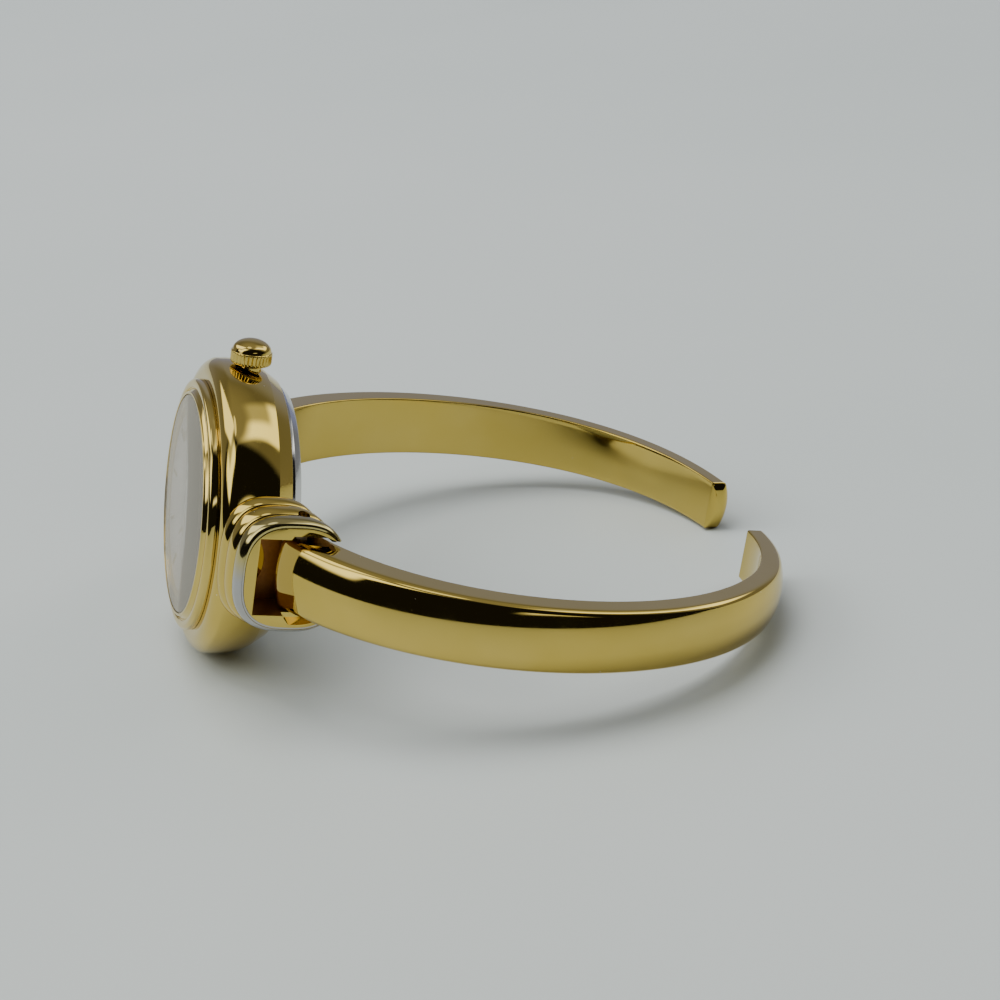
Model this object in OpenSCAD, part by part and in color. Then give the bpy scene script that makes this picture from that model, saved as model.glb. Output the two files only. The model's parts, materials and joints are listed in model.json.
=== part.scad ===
// Lady's gold cuff watch: a round watch head between two spring-hinged half-bangle arms.
// Every piece is drawn with the watch lying dial up: +Z out of the dial, +X to the crown,
// +Y to twelve o'clock, with the origin at the middle of the case flank.
// The whole watch is then stood on the flank of its case and the lower edges of its arms.

/* [Case] */
// Diameter of the case at the back edge of its flank
case_d = 25; // [23:0.1:28]
// How far the front edge of the flank stands out beyond its back edge
flank_flare = 0.6; // [0.4:0.05:0.8]
// Bulge of the flank between its two edges
flank_rise = 0.3; // [0.2:0.02:0.4]
// Height of the case front above the middle of the flank
case_front_h = 2.6; // [2.5:0.05:2.9]
// Depth of the flank below its middle
case_back_h = 2.35; // [2.2:0.05:2.6]
// Height of the rounded front shoulder
shoulder_h = 1.05; // [0.9:0.05:1.2]
// Width of the rounded front shoulder
shoulder_w = 1.55; // [1.4:0.05:1.7]
// Height of the bevel at the back of the case
back_bevel_h = 1.3; // [1.1:0.05:1.5]
// How far the back bevel draws in
back_bevel_in = 0.9; // [0.7:0.05:1]
// Wall of the case round the bore that takes the movement
case_wall = 2.5; // [2.4:0.05:2.6]
// Width of the flange over the edge of the dial
flange_w = 1.1; // [0.9:0.05:1.4]
// Thickness of that flange
flange_t = 0.67; // [0.6:0.01:0.75]

/* [Bezel and crystal] */
// How far the bezel stands in from the flank of the case
bezel_step = 1.34; // [1.2:0.02:1.5]
// Width of the bezel from its outside to the crystal
bezel_w = 1.46; // [1.4:0.02:1.6]
// Radius of the rounded bead round the bezel
bead_r = 0.38; // [0.3:0.02:0.4]
// Height of the middle of the bead above the case front
bead_lift = 0.45; // [0.4:0.01:0.5]
// Thickness of the crystal
crystal_t = 0.95; // [0.85:0.05:1.1]
// Thickness of the bezel ledge under the crystal
ledge_t = 0.12; // [0.1:0.01:0.15]
// Width of the gold lip round the crystal
lip_w = 0.22; // [0.15:0.01:0.25]
// Wall of the crystal gasket
crystal_gasket_w = 0.22; // [0.18:0.01:0.24]

/* [Case back] */
// Thickness of the case back at its middle
caseback_t = 0.67; // [0.6:0.01:0.8]
// Height of the case back that shows behind the case
caseback_h = 0.94; // [0.85:0.01:1.1]
// How far the rim of the case back stands in from the end of the bevel
caseback_step = 0.45; // [0.35:0.05:0.5]
// How far the bevel of the case back draws in
caseback_bevel_in = 0.55; // [0.45:0.05:0.65]
// Length of the skirt that snaps into the case
skirt_h = 0.65; // [0.55:0.05:0.75]
// Wall of that skirt
skirt_w = 0.45; // [0.4:0.05:0.5]
// Width of the case back gasket
back_gasket_w = 0.44; // [0.38:0.02:0.46]
// Thickness of the case back gasket
back_gasket_t = 0.26; // [0.22:0.01:0.3]

/* [Crown and stem] */
// Height of the stem axis, measured from the middle of the flank
stem_z = -0.88; // [-0.92:0.01:-0.86]
// Diameter of the crown
crown_d = 3.64; // [3.4:0.04:3.9]
// Height of the fluted skirt of the crown
crown_skirt_h = 1.15; // [1.05:0.01:1.3]
// Height of the dome of the crown
crown_dome_h = 1.05; // [0.9:0.05:1.2]
// Number of flutes round the crown
crown_flutes = 30; // [24:1:36]
// Diameter of the collar of the crown tube
collar_d = 2; // [1.9:0.05:2.3]
// How far the collar stands out of the flank
collar_h = 0.18; // [0.12:0.01:0.24]
// Gap between the collar and the crown
crown_gap = 0.2; // [0.15:0.01:0.25]
// Diameter of the crown tube in the wall of the case
tube_d = 1.6; // [1.5:0.05:1.7]
// Diameter of the stem
stem_d = 0.7; // [0.66:0.02:0.74]
// How far the crown pulls out
crown_travel = 0.9; // [0.8:0.05:0.95]

/* [Dial and hands] */
// Thickness of the dial
dial_t = 0.3; // [0.25:0.01:0.35]
// Length of the hour markers
marker_l = 1.4; // [1:0.1:1.8]
// Width of the hour markers
marker_w = 0.28; // [0.2:0.02:0.36]
// Height of the hour markers
marker_h = 0.1; // [0.06:0.01:0.12]
// Length of the minute hand
minute_hand_l = 7.2; // [6.4:0.1:7.6]
// Length of the hour hand
hour_hand_l = 4.7; // [4:0.1:5]
// Width of the hands
hand_w = 0.5; // [0.4:0.02:0.6]
// Thickness of the hands
hand_t = 0.1; // [0.08:0.01:0.12]

/* [Movement] */
// Wall of the plastic ring that holds the movement
ring_w = 0.6; // [0.5:0.02:0.7]
// Thickness of the main plate
plate_t = 0.8; // [0.72:0.02:0.84]
// Depth of the room for the motion work under the dial
motion_room = 1.05; // [1:0.01:1.1]
// Room between the battery and the edge of the plate
battery_rim = 0.15; // [0.1:0.01:0.2]
// Room between the battery and the centre wheel
battery_room = 0.2; // [0.12:0.01:0.3]
// Thickness of the battery
battery_t = 2.1; // [2:0.05:2.15]
// Thickness of the wheels
wheel_t = 0.16; // [0.12:0.01:0.18]

/* [Lug hoods] */
// How far a hood stands out from the flank of the case
hood_l = 4.1; // [3.9:0.05:4.4]
// Wall of a hood beside the socket at its end, over the silver rib
hood_wall = 1.56; // [1.45:0.02:1.7]
// How much wider a hood is where it meets the case
hood_flare_w = 1.6; // [1.2:0.1:2]
// Depth of a hood from front to back where it meets the case
hood_root_l = 8.2; // [8:0.1:8.6]
// Depth of a hood from front to back at its end
hood_end_l = 9.28; // [9:0.04:9.6]
// Set-back of the middle of a hood where it meets the case
hood_root_back = 1.41; // [1.3:0.01:1.6]
// Set-back of the middle of a hood at its end
hood_end_back = 3.17; // [3:0.01:3.4]
// Height of the half-round ribs
rib_h = 0.27; // [0.2:0.01:0.34]
// How far a hood drops below the crest of its first rib where it leaves the case
root_drop = 0.6; // [0.4:0.02:0.7]
// Depth of the outer slope of the silver rib down to the gold neck
neck_inset = 0.5; // [0.4:0.02:0.56]
// Gap between an arm and each side of its socket
socket_gap = 0.21; // [0.19:0.01:0.27]
// Depth of the relief in the end face, over the arm
relief_l = 0.85; // [0.6:0.05:0.95]
// Rim left round that relief
relief_rim = 0.28; // [0.22:0.02:0.34]
// How far the hinge pins stand in from the end face of a hood
pin_in = 1.6; // [1.5:0.02:1.7]
// Distance of the hinge pins behind the middle of the flank
pin_back = 3.76; // [3.6:0.02:3.9]
// Diameter of the hinge pins
pin_d = 1; // [0.9:0.02:1.1]

/* [Arms] */
// Mean inner radius of the bangle
bangle_r = 24.9; // [24.4:0.1:25.6]
// How far the bangle is drawn towards the head
bangle_draw = 1.02; // [0.9:0.02:1.1]
// How much wider the bangle is across the arms
bangle_oval = 0.95; // [0.8:0.05:1.1]
// How square the bangle is at its corners
bangle_square = 0.25; // [0.2:0.01:0.3]
// Height of an arm at its root
arm_root_h = 6.42; // [6.3:0.02:6.6]
// Height of an arm at its tip
arm_tip_h = 4.75; // [4.4:0.05:5]
// How far the arms have slid down their hinge pins, below the middle of their sockets
arm_low = 0.16; // [0:0.01:0.18]
// Thickness of an arm at its root
arm_root_t = 3.66; // [3.5:0.02:3.8]
// Thickness of an arm at its tip
arm_tip_t = 2.15; // [1.9:0.05:2.4]
// Crown of the outer face of an arm
arm_crown = 0.36; // [0.24:0.02:0.44]
// Angle round the bangle at which the twelve o'clock arm meets its cap
twelve_tip_angle = 15.8; // [12:0.1:18]
// Angle round the bangle at which the six o'clock arm meets its cap
six_tip_angle = 17; // [12:0.1:19]
// How far the tip of the six o'clock arm is bent in
six_arm_tuck = 1.2; // [0:0.1:2]
// Length of the domed cap at the end of an arm
cap_l = 0.6; // [0.4:0.05:0.8]

/* [Hidden] */
$fn = 96;

// Clearances
seat_gap = 0.01;
fit_gap = 0.02;
run_gap = 0.04;
side_gap = 0.05;
eps = 0.01;

// Length of cuts that run right through, longer than any piece that they cut
reach = 2 * case_d;

// Case, bezel and case back, as radii and heights
case_r = case_d / 2;
bore_r = case_r - case_wall;
flange_r = bore_r - flange_w;
flange_z = case_front_h - flange_t;
back_z = -case_back_h - back_bevel_h;
back_rim_r = case_r - back_bevel_in;

// Flank of the case: a shallow arc between its back and front edges, and a shoulder that rounds
// from the front edge into the flat front. The middles and radii follow from chord and rise.
flank_back = [case_r, -case_back_h];
flank_front = [case_r + flank_flare, case_front_h - shoulder_h];
flank_chord = flank_front - flank_back;
flank_arc_r = (flank_chord * flank_chord / 4 + flank_rise * flank_rise) / (2 * flank_rise);
flank_arc_at = (flank_back + flank_front) / 2
    - (flank_arc_r - flank_rise) * [flank_chord[1], -flank_chord[0]] / norm(flank_chord);
flank_arc_x = flank_arc_at[0];
flank_mid_z = flank_arc_at[1];
flank_low = atan2(flank_back[1] - flank_mid_z, flank_back[0] - flank_arc_x);
flank_high = atan2(flank_front[1] - flank_mid_z, flank_front[0] - flank_arc_x);
shoulder_r = (shoulder_h * shoulder_h + shoulder_w * shoulder_w) / (2 * shoulder_h);
shoulder_x = flank_front[0] - shoulder_w;
shoulder_z = case_front_h - shoulder_r;
shoulder_low = atan2(flank_front[1] - shoulder_z, shoulder_w);
function on_arc(x, z, r, a) = [x + r * cos(a), z + r * sin(a)];
function flank_line(grow) = concat(
    [for (k = [0:1 / 16:1]) on_arc(flank_arc_x, flank_mid_z, flank_arc_r + grow,
        flank_low + (flank_high - flank_low) * k)],
    [for (k = [1 / 8:1 / 8:1]) on_arc(shoulder_x, shoulder_z, shoulder_r + grow,
        shoulder_low + (90 - shoulder_low) * k)]);
function flank_r_at(z) = flank_arc_x + sqrt(pow(flank_arc_r, 2) - pow(z - flank_mid_z, 2));

bezel_r = case_r - bezel_step;
bezel_z = case_front_h + fit_gap;
crystal_r = bezel_r - bezel_w;
crystal_z = bezel_z + ledge_t + seat_gap;
crystal_top = crystal_z + crystal_t;
crystal_chamfer = 0.1;
lip_r = crystal_r + 0.03;
lip_z = crystal_top + 0.04;
lip_t = 0.2;
gasket_bore_r = crystal_r + fit_gap;
bezel_bore_r = gasket_bore_r + crystal_gasket_w + fit_gap;
bead_mid_r = bezel_r - bead_r;
bead_z = case_front_h + bead_lift;
bezel_ledge_r = crystal_r - 0.4;
bezel_skirt_out = bezel_r - 0.46;
bezel_skirt_in = bezel_skirt_out - 0.4;
bezel_skirt_h = 0.4;
caseback_r = back_rim_r - caseback_step;
caseback_face_r = caseback_r - caseback_bevel_in;
caseback_z = back_z - fit_gap;
caseback_out_z = caseback_z - caseback_h;
caseback_in_z = caseback_out_z + caseback_t;
skirt_r = bore_r - side_gap;
skirt_top = caseback_z + skirt_h;
gasket_seat_r = bore_r + back_gasket_w + 2 * run_gap;
gasket_seat_h = back_gasket_t + 2 * fit_gap;

// Heights of the movement, from the dial down
dial_top = flange_z - fit_gap;
dial_z = dial_top - dial_t;
dial_r = bore_r - 0.4;
ring_r = bore_r - side_gap;
ring_bore_r = ring_r - ring_w;
plate_r = ring_bore_r - side_gap;
plate_rim_top = dial_z - fit_gap;
plate_rim_w = 0.7;
plate_top = plate_rim_top - motion_room + fit_gap;
plate_z = plate_top - plate_t;
motion_z = plate_top + side_gap;
motion_upper_z = motion_z + wheel_t + 0.12;
battery_top = plate_z - 0.1;
battery_z = battery_top - battery_t;
stator_t = 0.28;
stator_top = plate_z - 0.38;
upper_train_z = stator_top - stator_t - 0.42;
lower_train_z = upper_train_z - 0.3;
bridge_top = lower_train_z - 0.16;
bridge_t = 0.4;
bridge_z = bridge_top - bridge_t;
clamp_t = 0.12;
clamp_z = battery_z - 0.04 - clamp_t;
board_t = 0.15;
board_z = plate_z - 1.66;

// Hands and their pipes
arbor_r = 0.2;
cannon_r = 0.38;
hour_pipe_in = cannon_r + run_gap;
hour_pipe_r = 0.62;
dial_hole_r = 0.75;
hour_hand_z = dial_top + marker_h + 0.2;
minute_hand_z = hour_hand_z + hand_t + 0.14;
hand_tail = 1.2;
tail_w = 0.24;
hour_boss_r = 0.95;
minute_boss_r = 0.7;
hour_hand_turn = -305;
minute_hand_turn = -60;
marker_mid_r = flange_r - 0.5 - marker_l / 2;

// Teeth of the motion work and of the train
fine_module = 0.1;
train_module = 0.07;
cannon_teeth = 12;
minute_teeth = 36;
minute_pinion_teeth = 10;
hour_teeth = 40;
setting_teeth = 16;
centre_teeth = 60;
step_pinion_teeth = 8;
step_teeth = 48;
rotor_teeth = 6;
motion_gap = fine_module * (cannon_teeth + minute_teeth) / 2;
hour_module = 2 * motion_gap / (minute_pinion_teeth + hour_teeth);
setting_gap = fine_module * (minute_teeth + setting_teeth) / 2;
setting_x = 3.3;
minute_turn = acos((setting_x * setting_x + motion_gap * motion_gap - setting_gap * setting_gap)
    / (2 * setting_x * motion_gap));
minute_at = motion_gap * [cos(minute_turn), sin(minute_turn)];
setting_turn = atan2(-minute_at[1], setting_x - minute_at[0]);
minute_phase = minute_turn + 180 + 180 / minute_teeth;
minute_pitch = 360 / minute_teeth;
tooth_past = minute_phase - setting_turn + minute_pitch / 2;
tooth_lead = tooth_past - minute_pitch * floor(tooth_past / minute_pitch) - minute_pitch / 2;
setting_phase = setting_turn + 180 - tooth_lead * minute_teeth / setting_teeth
    + 180 / setting_teeth;
step_gap = train_module * (centre_teeth + step_pinion_teeth) / 2;
step_turn = 110;
step_at = step_gap * [cos(step_turn), sin(step_turn)];
rotor_gap = train_module * (step_teeth + rotor_teeth) / 2;
rotor_turn = 150;
rotor_at = step_at + rotor_gap * [cos(rotor_turn), sin(rotor_turn)];
centre_wheel_r = train_module * (centre_teeth / 2 + 0.7);
battery_from = centre_wheel_r + battery_room;
battery_r = (plate_r - battery_rim - battery_from) / 2;
battery_angle = 205;
battery_at = (battery_from + battery_r) * [cos(battery_angle), sin(battery_angle)];
train_arbor_r = 0.12;
pivot_r = 0.1;
magnet_r = 0.9;
magnet_t = 0.5;
setting_pinion_r = 0.5;
pillars = [[1.9, -2.2], [1.9, 2.6], [-2.65, 0.95]];
pillar_r = 0.4;
pillar_boss_r = 0.65;
clamp_at = [-0.9, -4.4];
clamp_eye_r = 0.7;
clamp_pad_r = 1.6;
clamp_strip_w = 1;
screw_l = 1.4;
slot_w = 0.1;
screw_r = 0.22;
screw_head_r = 0.36;
screw_head_t = 0.22;
screw_hole_r = screw_r + fit_gap;

// Coil, board and quartz
coil_y = 5.7;
coil_z = plate_z - 0.83;
coil_r = 0.8;
coil_from = -3.8;
coil_to = 1.8;
core_w = 0.8;
core_t = 0.3;
core_over = 1.2;
core_z = stator_top - stator_t - fit_gap - core_t;
stator_ring_r = 1.55;
stator_bore_r = magnet_r + 0.15;
board_posts = [[5.6, -4.6], [2.2, -6.9]];
board_post_r = 0.4;
board_edge = [0.5, -3.9];
board_rim = 0.3;
chip_at = [3.9, -5.3];
chip_w = 1.4;
chip_t = 0.5;
quartz_r = 0.72;
quartz_l = 4;
quartz_from = [-2.6, -6.3];
quartz_turn = 0;

// Keyless work
stem_r = stem_d / 2;
stem_in = setting_x + setting_pinion_r + 2 * side_gap;
stem_square = 0.46;
slider_travel = crown_travel * 2 / 3;
slider_from = stem_in + slider_travel;
slider_to = slider_from + 1.4;
slider_r = 0.55;
slider_groove_r = 0.42;
slider_groove_w = 0.36;
slider_groove_x = slider_to - 0.325;
square_end = slider_to + 0.3;
groove_w = 0.44;
groove_x = square_end + 0.3 + groove_w / 2;
groove_r = 0.16;
clutch_notches = 6;
lever_t = 0.2;
lever_z = stem_z - lever_t / 2;
lever_tip_w = 0.22;
lever_at = [groove_x + crown_travel / 2, 2.2];
yoke_at = [slider_groove_x - slider_travel / 2, -3];
post_r = 0.25;
post_shoulder_r = 0.42;
lever_eye_r = 0.55;
lever_tail_l = 1.3;
lever_tail_w = 0.4;
block_from = groove_x + crown_travel + lever_tip_w / 2 + 2 * side_gap;
block_w = 1.5;
block_bottom = stem_z - 0.62;

// Crown and its tube
crown_r = crown_d / 2;
tube_r = tube_d / 2;
tube_bore_r = stem_r + side_gap;
collar_r = collar_d / 2;
collar_seat = 0.45;
stem_flank_r = flank_r_at(stem_z);
collar_top = stem_flank_r + collar_h;
crown_from = collar_top + crown_gap;
crown_top = crown_from + crown_skirt_h + crown_dome_h;
neck_r = 0.9;
neck_top = crown_from + 0.87;
recess_r = neck_r + 0.4;
recess_top = neck_top + 0.1;
crown_gasket_r = 0.15;
crown_gasket_x = crown_from + 0.45;
stem_out = recess_top + 0.75;
flute_r = 0.1;

// Hoods, sockets and hinge pins
hood_end = case_r + hood_l;
socket_h = arm_root_h + 2 * socket_gap;
hood_end_w = socket_h + 2 * hood_wall;
hood_root_w = hood_end_w + hood_flare_w;
pin_y = hood_end - pin_in;
pin_z = -pin_back;
pin_r = pin_d / 2;

// Plan of the bangle: the inner line of an arm at an angle round its own middle, as distance
// back and sideways. An arm is told by the angle of its tip and how far that tip is bent in.
tuck_from = 46;
tuck_span = 30;
along_step = 0.05;
twelve_arm = [twelve_tip_angle, 0];
six_arm = [six_tip_angle, six_arm_tuck];
function bangle_line_r(t, tuck) = bangle_r - bangle_draw * cos(t) - bangle_oval * cos(2 * t)
    - bangle_square * cos(4 * t) - tuck * pow(max(0, (tuck_from - t) / tuck_span), 2);
function bangle_curve(t, tuck) = bangle_line_r(t, tuck) * [cos(t), sin(t)];
function unit(v) = v / norm(v);
function bangle_along(t, tuck) =
    unit(bangle_curve(t + along_step, tuck) - bangle_curve(t - along_step, tuck));
function bangle_out(t, tuck) = let (v = bangle_along(t, tuck)) [v[1], -v[0]];

// The root angle is where the middle of the arm meets the line of the hinge pin
root_r = arm_root_t / 2;
function root_mid_at(t) = bangle_curve(t, 0) + root_r * bangle_out(t, 0);
function root_between(low, high, steps) = let (t = (low + high) / 2)
    steps == 0 ? t
    : root_mid_at(t)[1] > pin_y ? root_between(t, high, steps - 1)
    : root_between(low, t, steps - 1);
root_angle = root_between(100, 179, 30);
bangle_back = pin_back - root_mid_at(root_angle)[0];
function bangle_at(t, tuck) = [bangle_back, 0] + bangle_curve(t, tuck);

// Arm sections, from the tip at share 0 to the root at share 1
arm_rings = 44;
arm_ease = 0.14;
arm_corner = 0.24;
function mix(a, b, s) = a + (b - a) * s;
function arm_h(s) = mix(arm_tip_h, arm_root_h, s);
function arm_t(s) = mix(arm_tip_t, arm_root_t, s);
function arm_corner_at(s, a) = let (c = arm_corner * arm_t(s)) [
    arm_t(s) - arm_crown - c + c * cos(a), arm_h(s) / 2 - c + c * sin(a)];
function arm_face_at(s, k) = [
    arm_t(s) - arm_crown * k * k, k * (arm_h(s) / 2 - arm_corner * arm_t(s))];
function arm_half(s) = concat(
    [[0, arm_h(s) / 2 - arm_ease], [arm_ease, arm_h(s) / 2]],
    [for (a = [90:-20:10]) arm_corner_at(s, a)],
    [for (k = [0.66, 0.33]) arm_face_at(s, k)]);
function flip_list(l) = [for (i = [len(l) - 1:-1:0]) [l[i][0], -l[i][1]]];
function arm_section(s) = concat(arm_half(s), [arm_face_at(s, 0)], flip_list(arm_half(s)));
function on_bangle(t, tuck, q) = let (p = bangle_at(t, tuck) + q[0] * bangle_out(t, tuck))
    [q[1] - arm_low, p[1], -p[0]];

// Rounded root: the root section turned about the hinge and drawn in from both sides
root_rings = 7;
root_power = 3.2;
function root_loop(i) = let (
    a = 84 * i / root_rings,
    high = pow(1 - pow(sin(a), root_power), 1 / root_power),
    step = root_r * sin(a) * bangle_along(root_angle, 0))
    [for (q = arm_section(1)) on_bangle(root_angle, 0,
        [root_r + cos(a) * (q[0] - root_r), high * q[1]]) + [0, step[1], -step[0]]];
function arm_loops(which) = concat(
    [for (i = [0:arm_rings]) let (s = i / arm_rings)
        [for (q = arm_section(s)) on_bangle(mix(which[0], root_angle, s), which[1], q)]],
    [for (i = [1:root_rings]) root_loop(i)]);

// Domed cap at the tip: the tip section drawn in towards its middle
cap_rings = 8;
cap_power = 2.3;
cap_seat = 0.01;
tip_mid = [arm_tip_t / 2, 0];
function tip_along(which) = -bangle_along(which[0], which[1]);
function cap_share(i) = sin(84 * i / cap_rings);
function cap_loop(which, i) = let (
    d = cap_seat + (cap_l - cap_seat) * cap_share(i),
    k = pow(1 - pow(cap_share(i), cap_power), 1 / cap_power),
    step = d * tip_along(which))
    [for (q = arm_section(0))
        on_bangle(which[0], which[1], tip_mid + k * (q - tip_mid)) + [0, step[1], -step[0]]];
function cap_loops(which) = [for (i = [cap_rings:-1:0]) cap_loop(which, i)];
peg_r = 0.6;
peg_l = 1.2;
peg_sunk = 0.2;

// Socket floor, with the leaf spring between it and the flat on the root of the arm
root_flat = 0.08;
spring_t = 0.12;
spring_gap = 0.12;
spring_w = 2.2;
spring_share = 0.7;
root_end = pin_y - root_r;
socket_floor = root_end - spring_gap - spring_t;

// Hood outlines: ovals across the six to twelve line, with half-round ribs
rib_count = 3;
rib_from = case_r - 0.5;
rib_w = (hood_end - rib_from) / rib_count;
hood_in = case_r - 1.6;
oval_points = 56;
oval_power = 2.78;
neck_proud = 0.1;
pin_recess = 0.6;
relief_r = 3.9;
relief_at = [1.5, -6];
function bulge(u) = sqrt(max(0, 1 - u * u));
function signed_power(v, p) = sign(v) * pow(abs(v), p);
function oval(half_w, half_l, back, y) = [for (i = [0:oval_points - 1])
    let (t = 360 * i / oval_points) [
        half_w * signed_power(sin(t), 2 / oval_power), y,
        half_l * signed_power(cos(t), 2 / oval_power) - back]];
function hood_oval(y, inset) = let (s = (y - rib_from) / (hood_end - rib_from)) oval(
    mix(hood_root_w, hood_end_w, s) / 2 - inset,
    mix(hood_root_l, hood_end_l, s) / 2 - inset,
    mix(hood_root_back, hood_end_back, s), y);
function rib_ovals(i, from, to) = [for (u = [from:0.25:to])
    hood_oval(rib_from + rib_w * (i + 0.5 + 0.5 * u),
        (i == 0 && u < 0 ? root_drop : rib_h) * (1 - bulge(u)))];
function neck_oval(y, grow) = oval(
    hood_end_w / 2 - neck_inset + grow, hood_end_l / 2 - neck_inset + grow, hood_end_back, y);
neck_from = rib_from + (rib_count - 1) * rib_w;
silver_end = hood_end - neck_proud;

// Outer slope of the silver rib, from its crest down to the neck
function silver_slope(y) = let (u = (y - hood_end + rib_w / 2) / (rib_w / 2))
    hood_oval(y, neck_inset * (1 - bulge(u)));

// How the watch stands: the arms dip until their lower edges touch what the flank stands on
function arm_points(which) = [for (l = concat(cap_loops(which), arm_loops(which)))
    for (p = l) p];
twelve_points = arm_points(twelve_arm);
six_points = arm_points(six_arm);
both_points = concat(twelve_points, six_points);
function tilt_at(p) = let (x = p[0] + flank_arc_x, z = flank_mid_z - p[2])
    asin(flank_arc_r / norm([x, z])) + atan2(x, z);
tilt = min([for (p = both_points) if (p[2] < -bangle_back) tilt_at(p)]);
function stood_x(p) = p[0] * sin(tilt) - p[2] * cos(tilt);
head_low_x = -(lip_r + lip_w) * sin(tilt) - lip_z * cos(tilt);
arms_high_x = max([for (p = both_points) stood_x(p)]);
stand_x = -(head_low_x + arms_high_x) / 2;
stand_y = (max([for (p = six_points) p[1]]) - max([for (p = twelve_points) p[1]])) / 2;
stand_z = flank_arc_r + flank_arc_x * cos(tilt) - flank_mid_z * sin(tilt);

module stand() { translate([stand_x, stand_y, stand_z]) rotate([0, tilt - 90, 0]) children(); }
module six_side() { mirror([0, 1, 0]) children(); }
module along_stem() { translate([0, 0, stem_z]) rotate([0, 90, 0]) children(); }
module disc(r, from, to) { translate([0, 0, from]) cylinder(r = r, h = to - from); }
module rod(r, from, to) { along_stem() disc(r, from, to); }

// A closed solid through a row of loops with as many points each
module loft(loops) {
    n = len(loops[0]);
    last = len(loops) - 1;
    polyhedron(
        points = [for (l = loops) for (p = l) p],
        faces = concat(
            [[for (i = [0:n - 1]) i]],
            [for (k = [0:last - 1]) for (i = [0:n - 1])
                [k * n + (i + 1) % n, k * n + i, (k + 1) * n + i]],
            [for (k = [0:last - 1]) for (i = [0:n - 1])
                [(k + 1) * n + (i + 1) % n, k * n + (i + 1) % n, (k + 1) * n + i]],
            [[for (i = [n - 1:-1:0]) last * n + i]]),
        convexity = 6);
}

// Outline of a toothed wheel with a tooth on the X axis
function toothed(n, m) = [for (i = [0:n - 1]) for (c = [
    [-0.52, -1.1], [-0.24, 0.7], [0.24, 0.7], [0.52, -1.1]])
    let (a = (i + 0.5 * c[0]) * 360 / n, r = n * m / 2 + c[1] * m) r * [cos(a), sin(a)]];
module toothed_wheel(n, m, from, to) {
    translate([0, 0, from]) linear_extrude(to - from) polygon(toothed(n, m));
}

// Everything that the case, bezel and case back fill, for the hoods to be cut against
module case_envelope(gap) {
    rotate_extrude() polygon(concat(
        [[0, -reach], [caseback_r + 0.12, -reach], [caseback_r + 0.12, back_z],
            [back_rim_r + gap, back_z]],
        flank_line(gap), [[shoulder_x, reach], [0, reach]]));
}

module case_body() {
    color("goldenrod") stand() difference() {
        rotate_extrude() polygon(concat(
            [[bore_r, back_z], [back_rim_r, back_z]], flank_line(0),
            [[flange_r, case_front_h], [flange_r, flange_z], [bore_r, flange_z]]));
        translate([0, 0, case_front_h - bezel_skirt_h - fit_gap]) difference() {
            cylinder(r = bezel_skirt_out + fit_gap, h = 2);
            translate([0, 0, -eps]) cylinder(r = bezel_skirt_in - fit_gap, h = 3);
        }
        disc(gasket_seat_r, back_z - 1, back_z + gasket_seat_h);
        rod(tube_r + fit_gap, flange_r, reach);
        rod(collar_r + fit_gap, stem_flank_r - collar_seat, reach);
    }
}

module bezel() {
    color("gold") stand() rotate_extrude() polygon(concat(
        [[bezel_ledge_r, bezel_z], [bezel_skirt_in, bezel_z],
            [bezel_skirt_in, bezel_z - bezel_skirt_h], [bezel_skirt_out, bezel_z - bezel_skirt_h],
            [bezel_skirt_out, bezel_z], [bezel_r, bezel_z]],
        [for (a = [0:15:165]) [bead_mid_r + bead_r * cos(a), bead_z + bead_r * sin(a)]],
        [[lip_r + lip_w + 0.18, bead_z + 0.4 * bead_r], [lip_r + lip_w + 0.06, lip_z - 0.16],
            [lip_r + lip_w, lip_z - 0.05], [lip_r + lip_w / 2, lip_z], [lip_r, lip_z],
            [lip_r, lip_z - lip_t], [bezel_bore_r, lip_z - lip_t],
            [bezel_bore_r, bezel_z + ledge_t], [bezel_ledge_r, bezel_z + ledge_t]]));
}

module crystal() {
    color("lightgrey") stand() rotate_extrude() polygon([
        [0, crystal_z], [crystal_r, crystal_z], [crystal_r, crystal_top - crystal_chamfer],
        [crystal_r - crystal_chamfer, crystal_top], [0, crystal_top]]);
}

module crystal_gasket() {
    color("white") stand() difference() {
        disc(gasket_bore_r + crystal_gasket_w, crystal_z, lip_z - lip_t - fit_gap);
        disc(gasket_bore_r, crystal_z - 1, lip_z + 1);
    }
}

module caseback() {
    color("silver") stand() rotate_extrude() polygon([
        [0, caseback_out_z], [caseback_face_r, caseback_out_z],
        [caseback_r, caseback_z - 0.3], [caseback_r, caseback_z],
        [skirt_r, caseback_z], [skirt_r, skirt_top], [skirt_r - skirt_w, skirt_top],
        [skirt_r - skirt_w, caseback_in_z], [0, caseback_in_z]]);
}

module caseback_gasket() {
    color("black") stand() difference() {
        disc(bore_r + run_gap + back_gasket_w, back_z + fit_gap, back_z + fit_gap + back_gasket_t);
        disc(bore_r + run_gap, back_z - 1, back_z + 2);
    }
}

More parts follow.
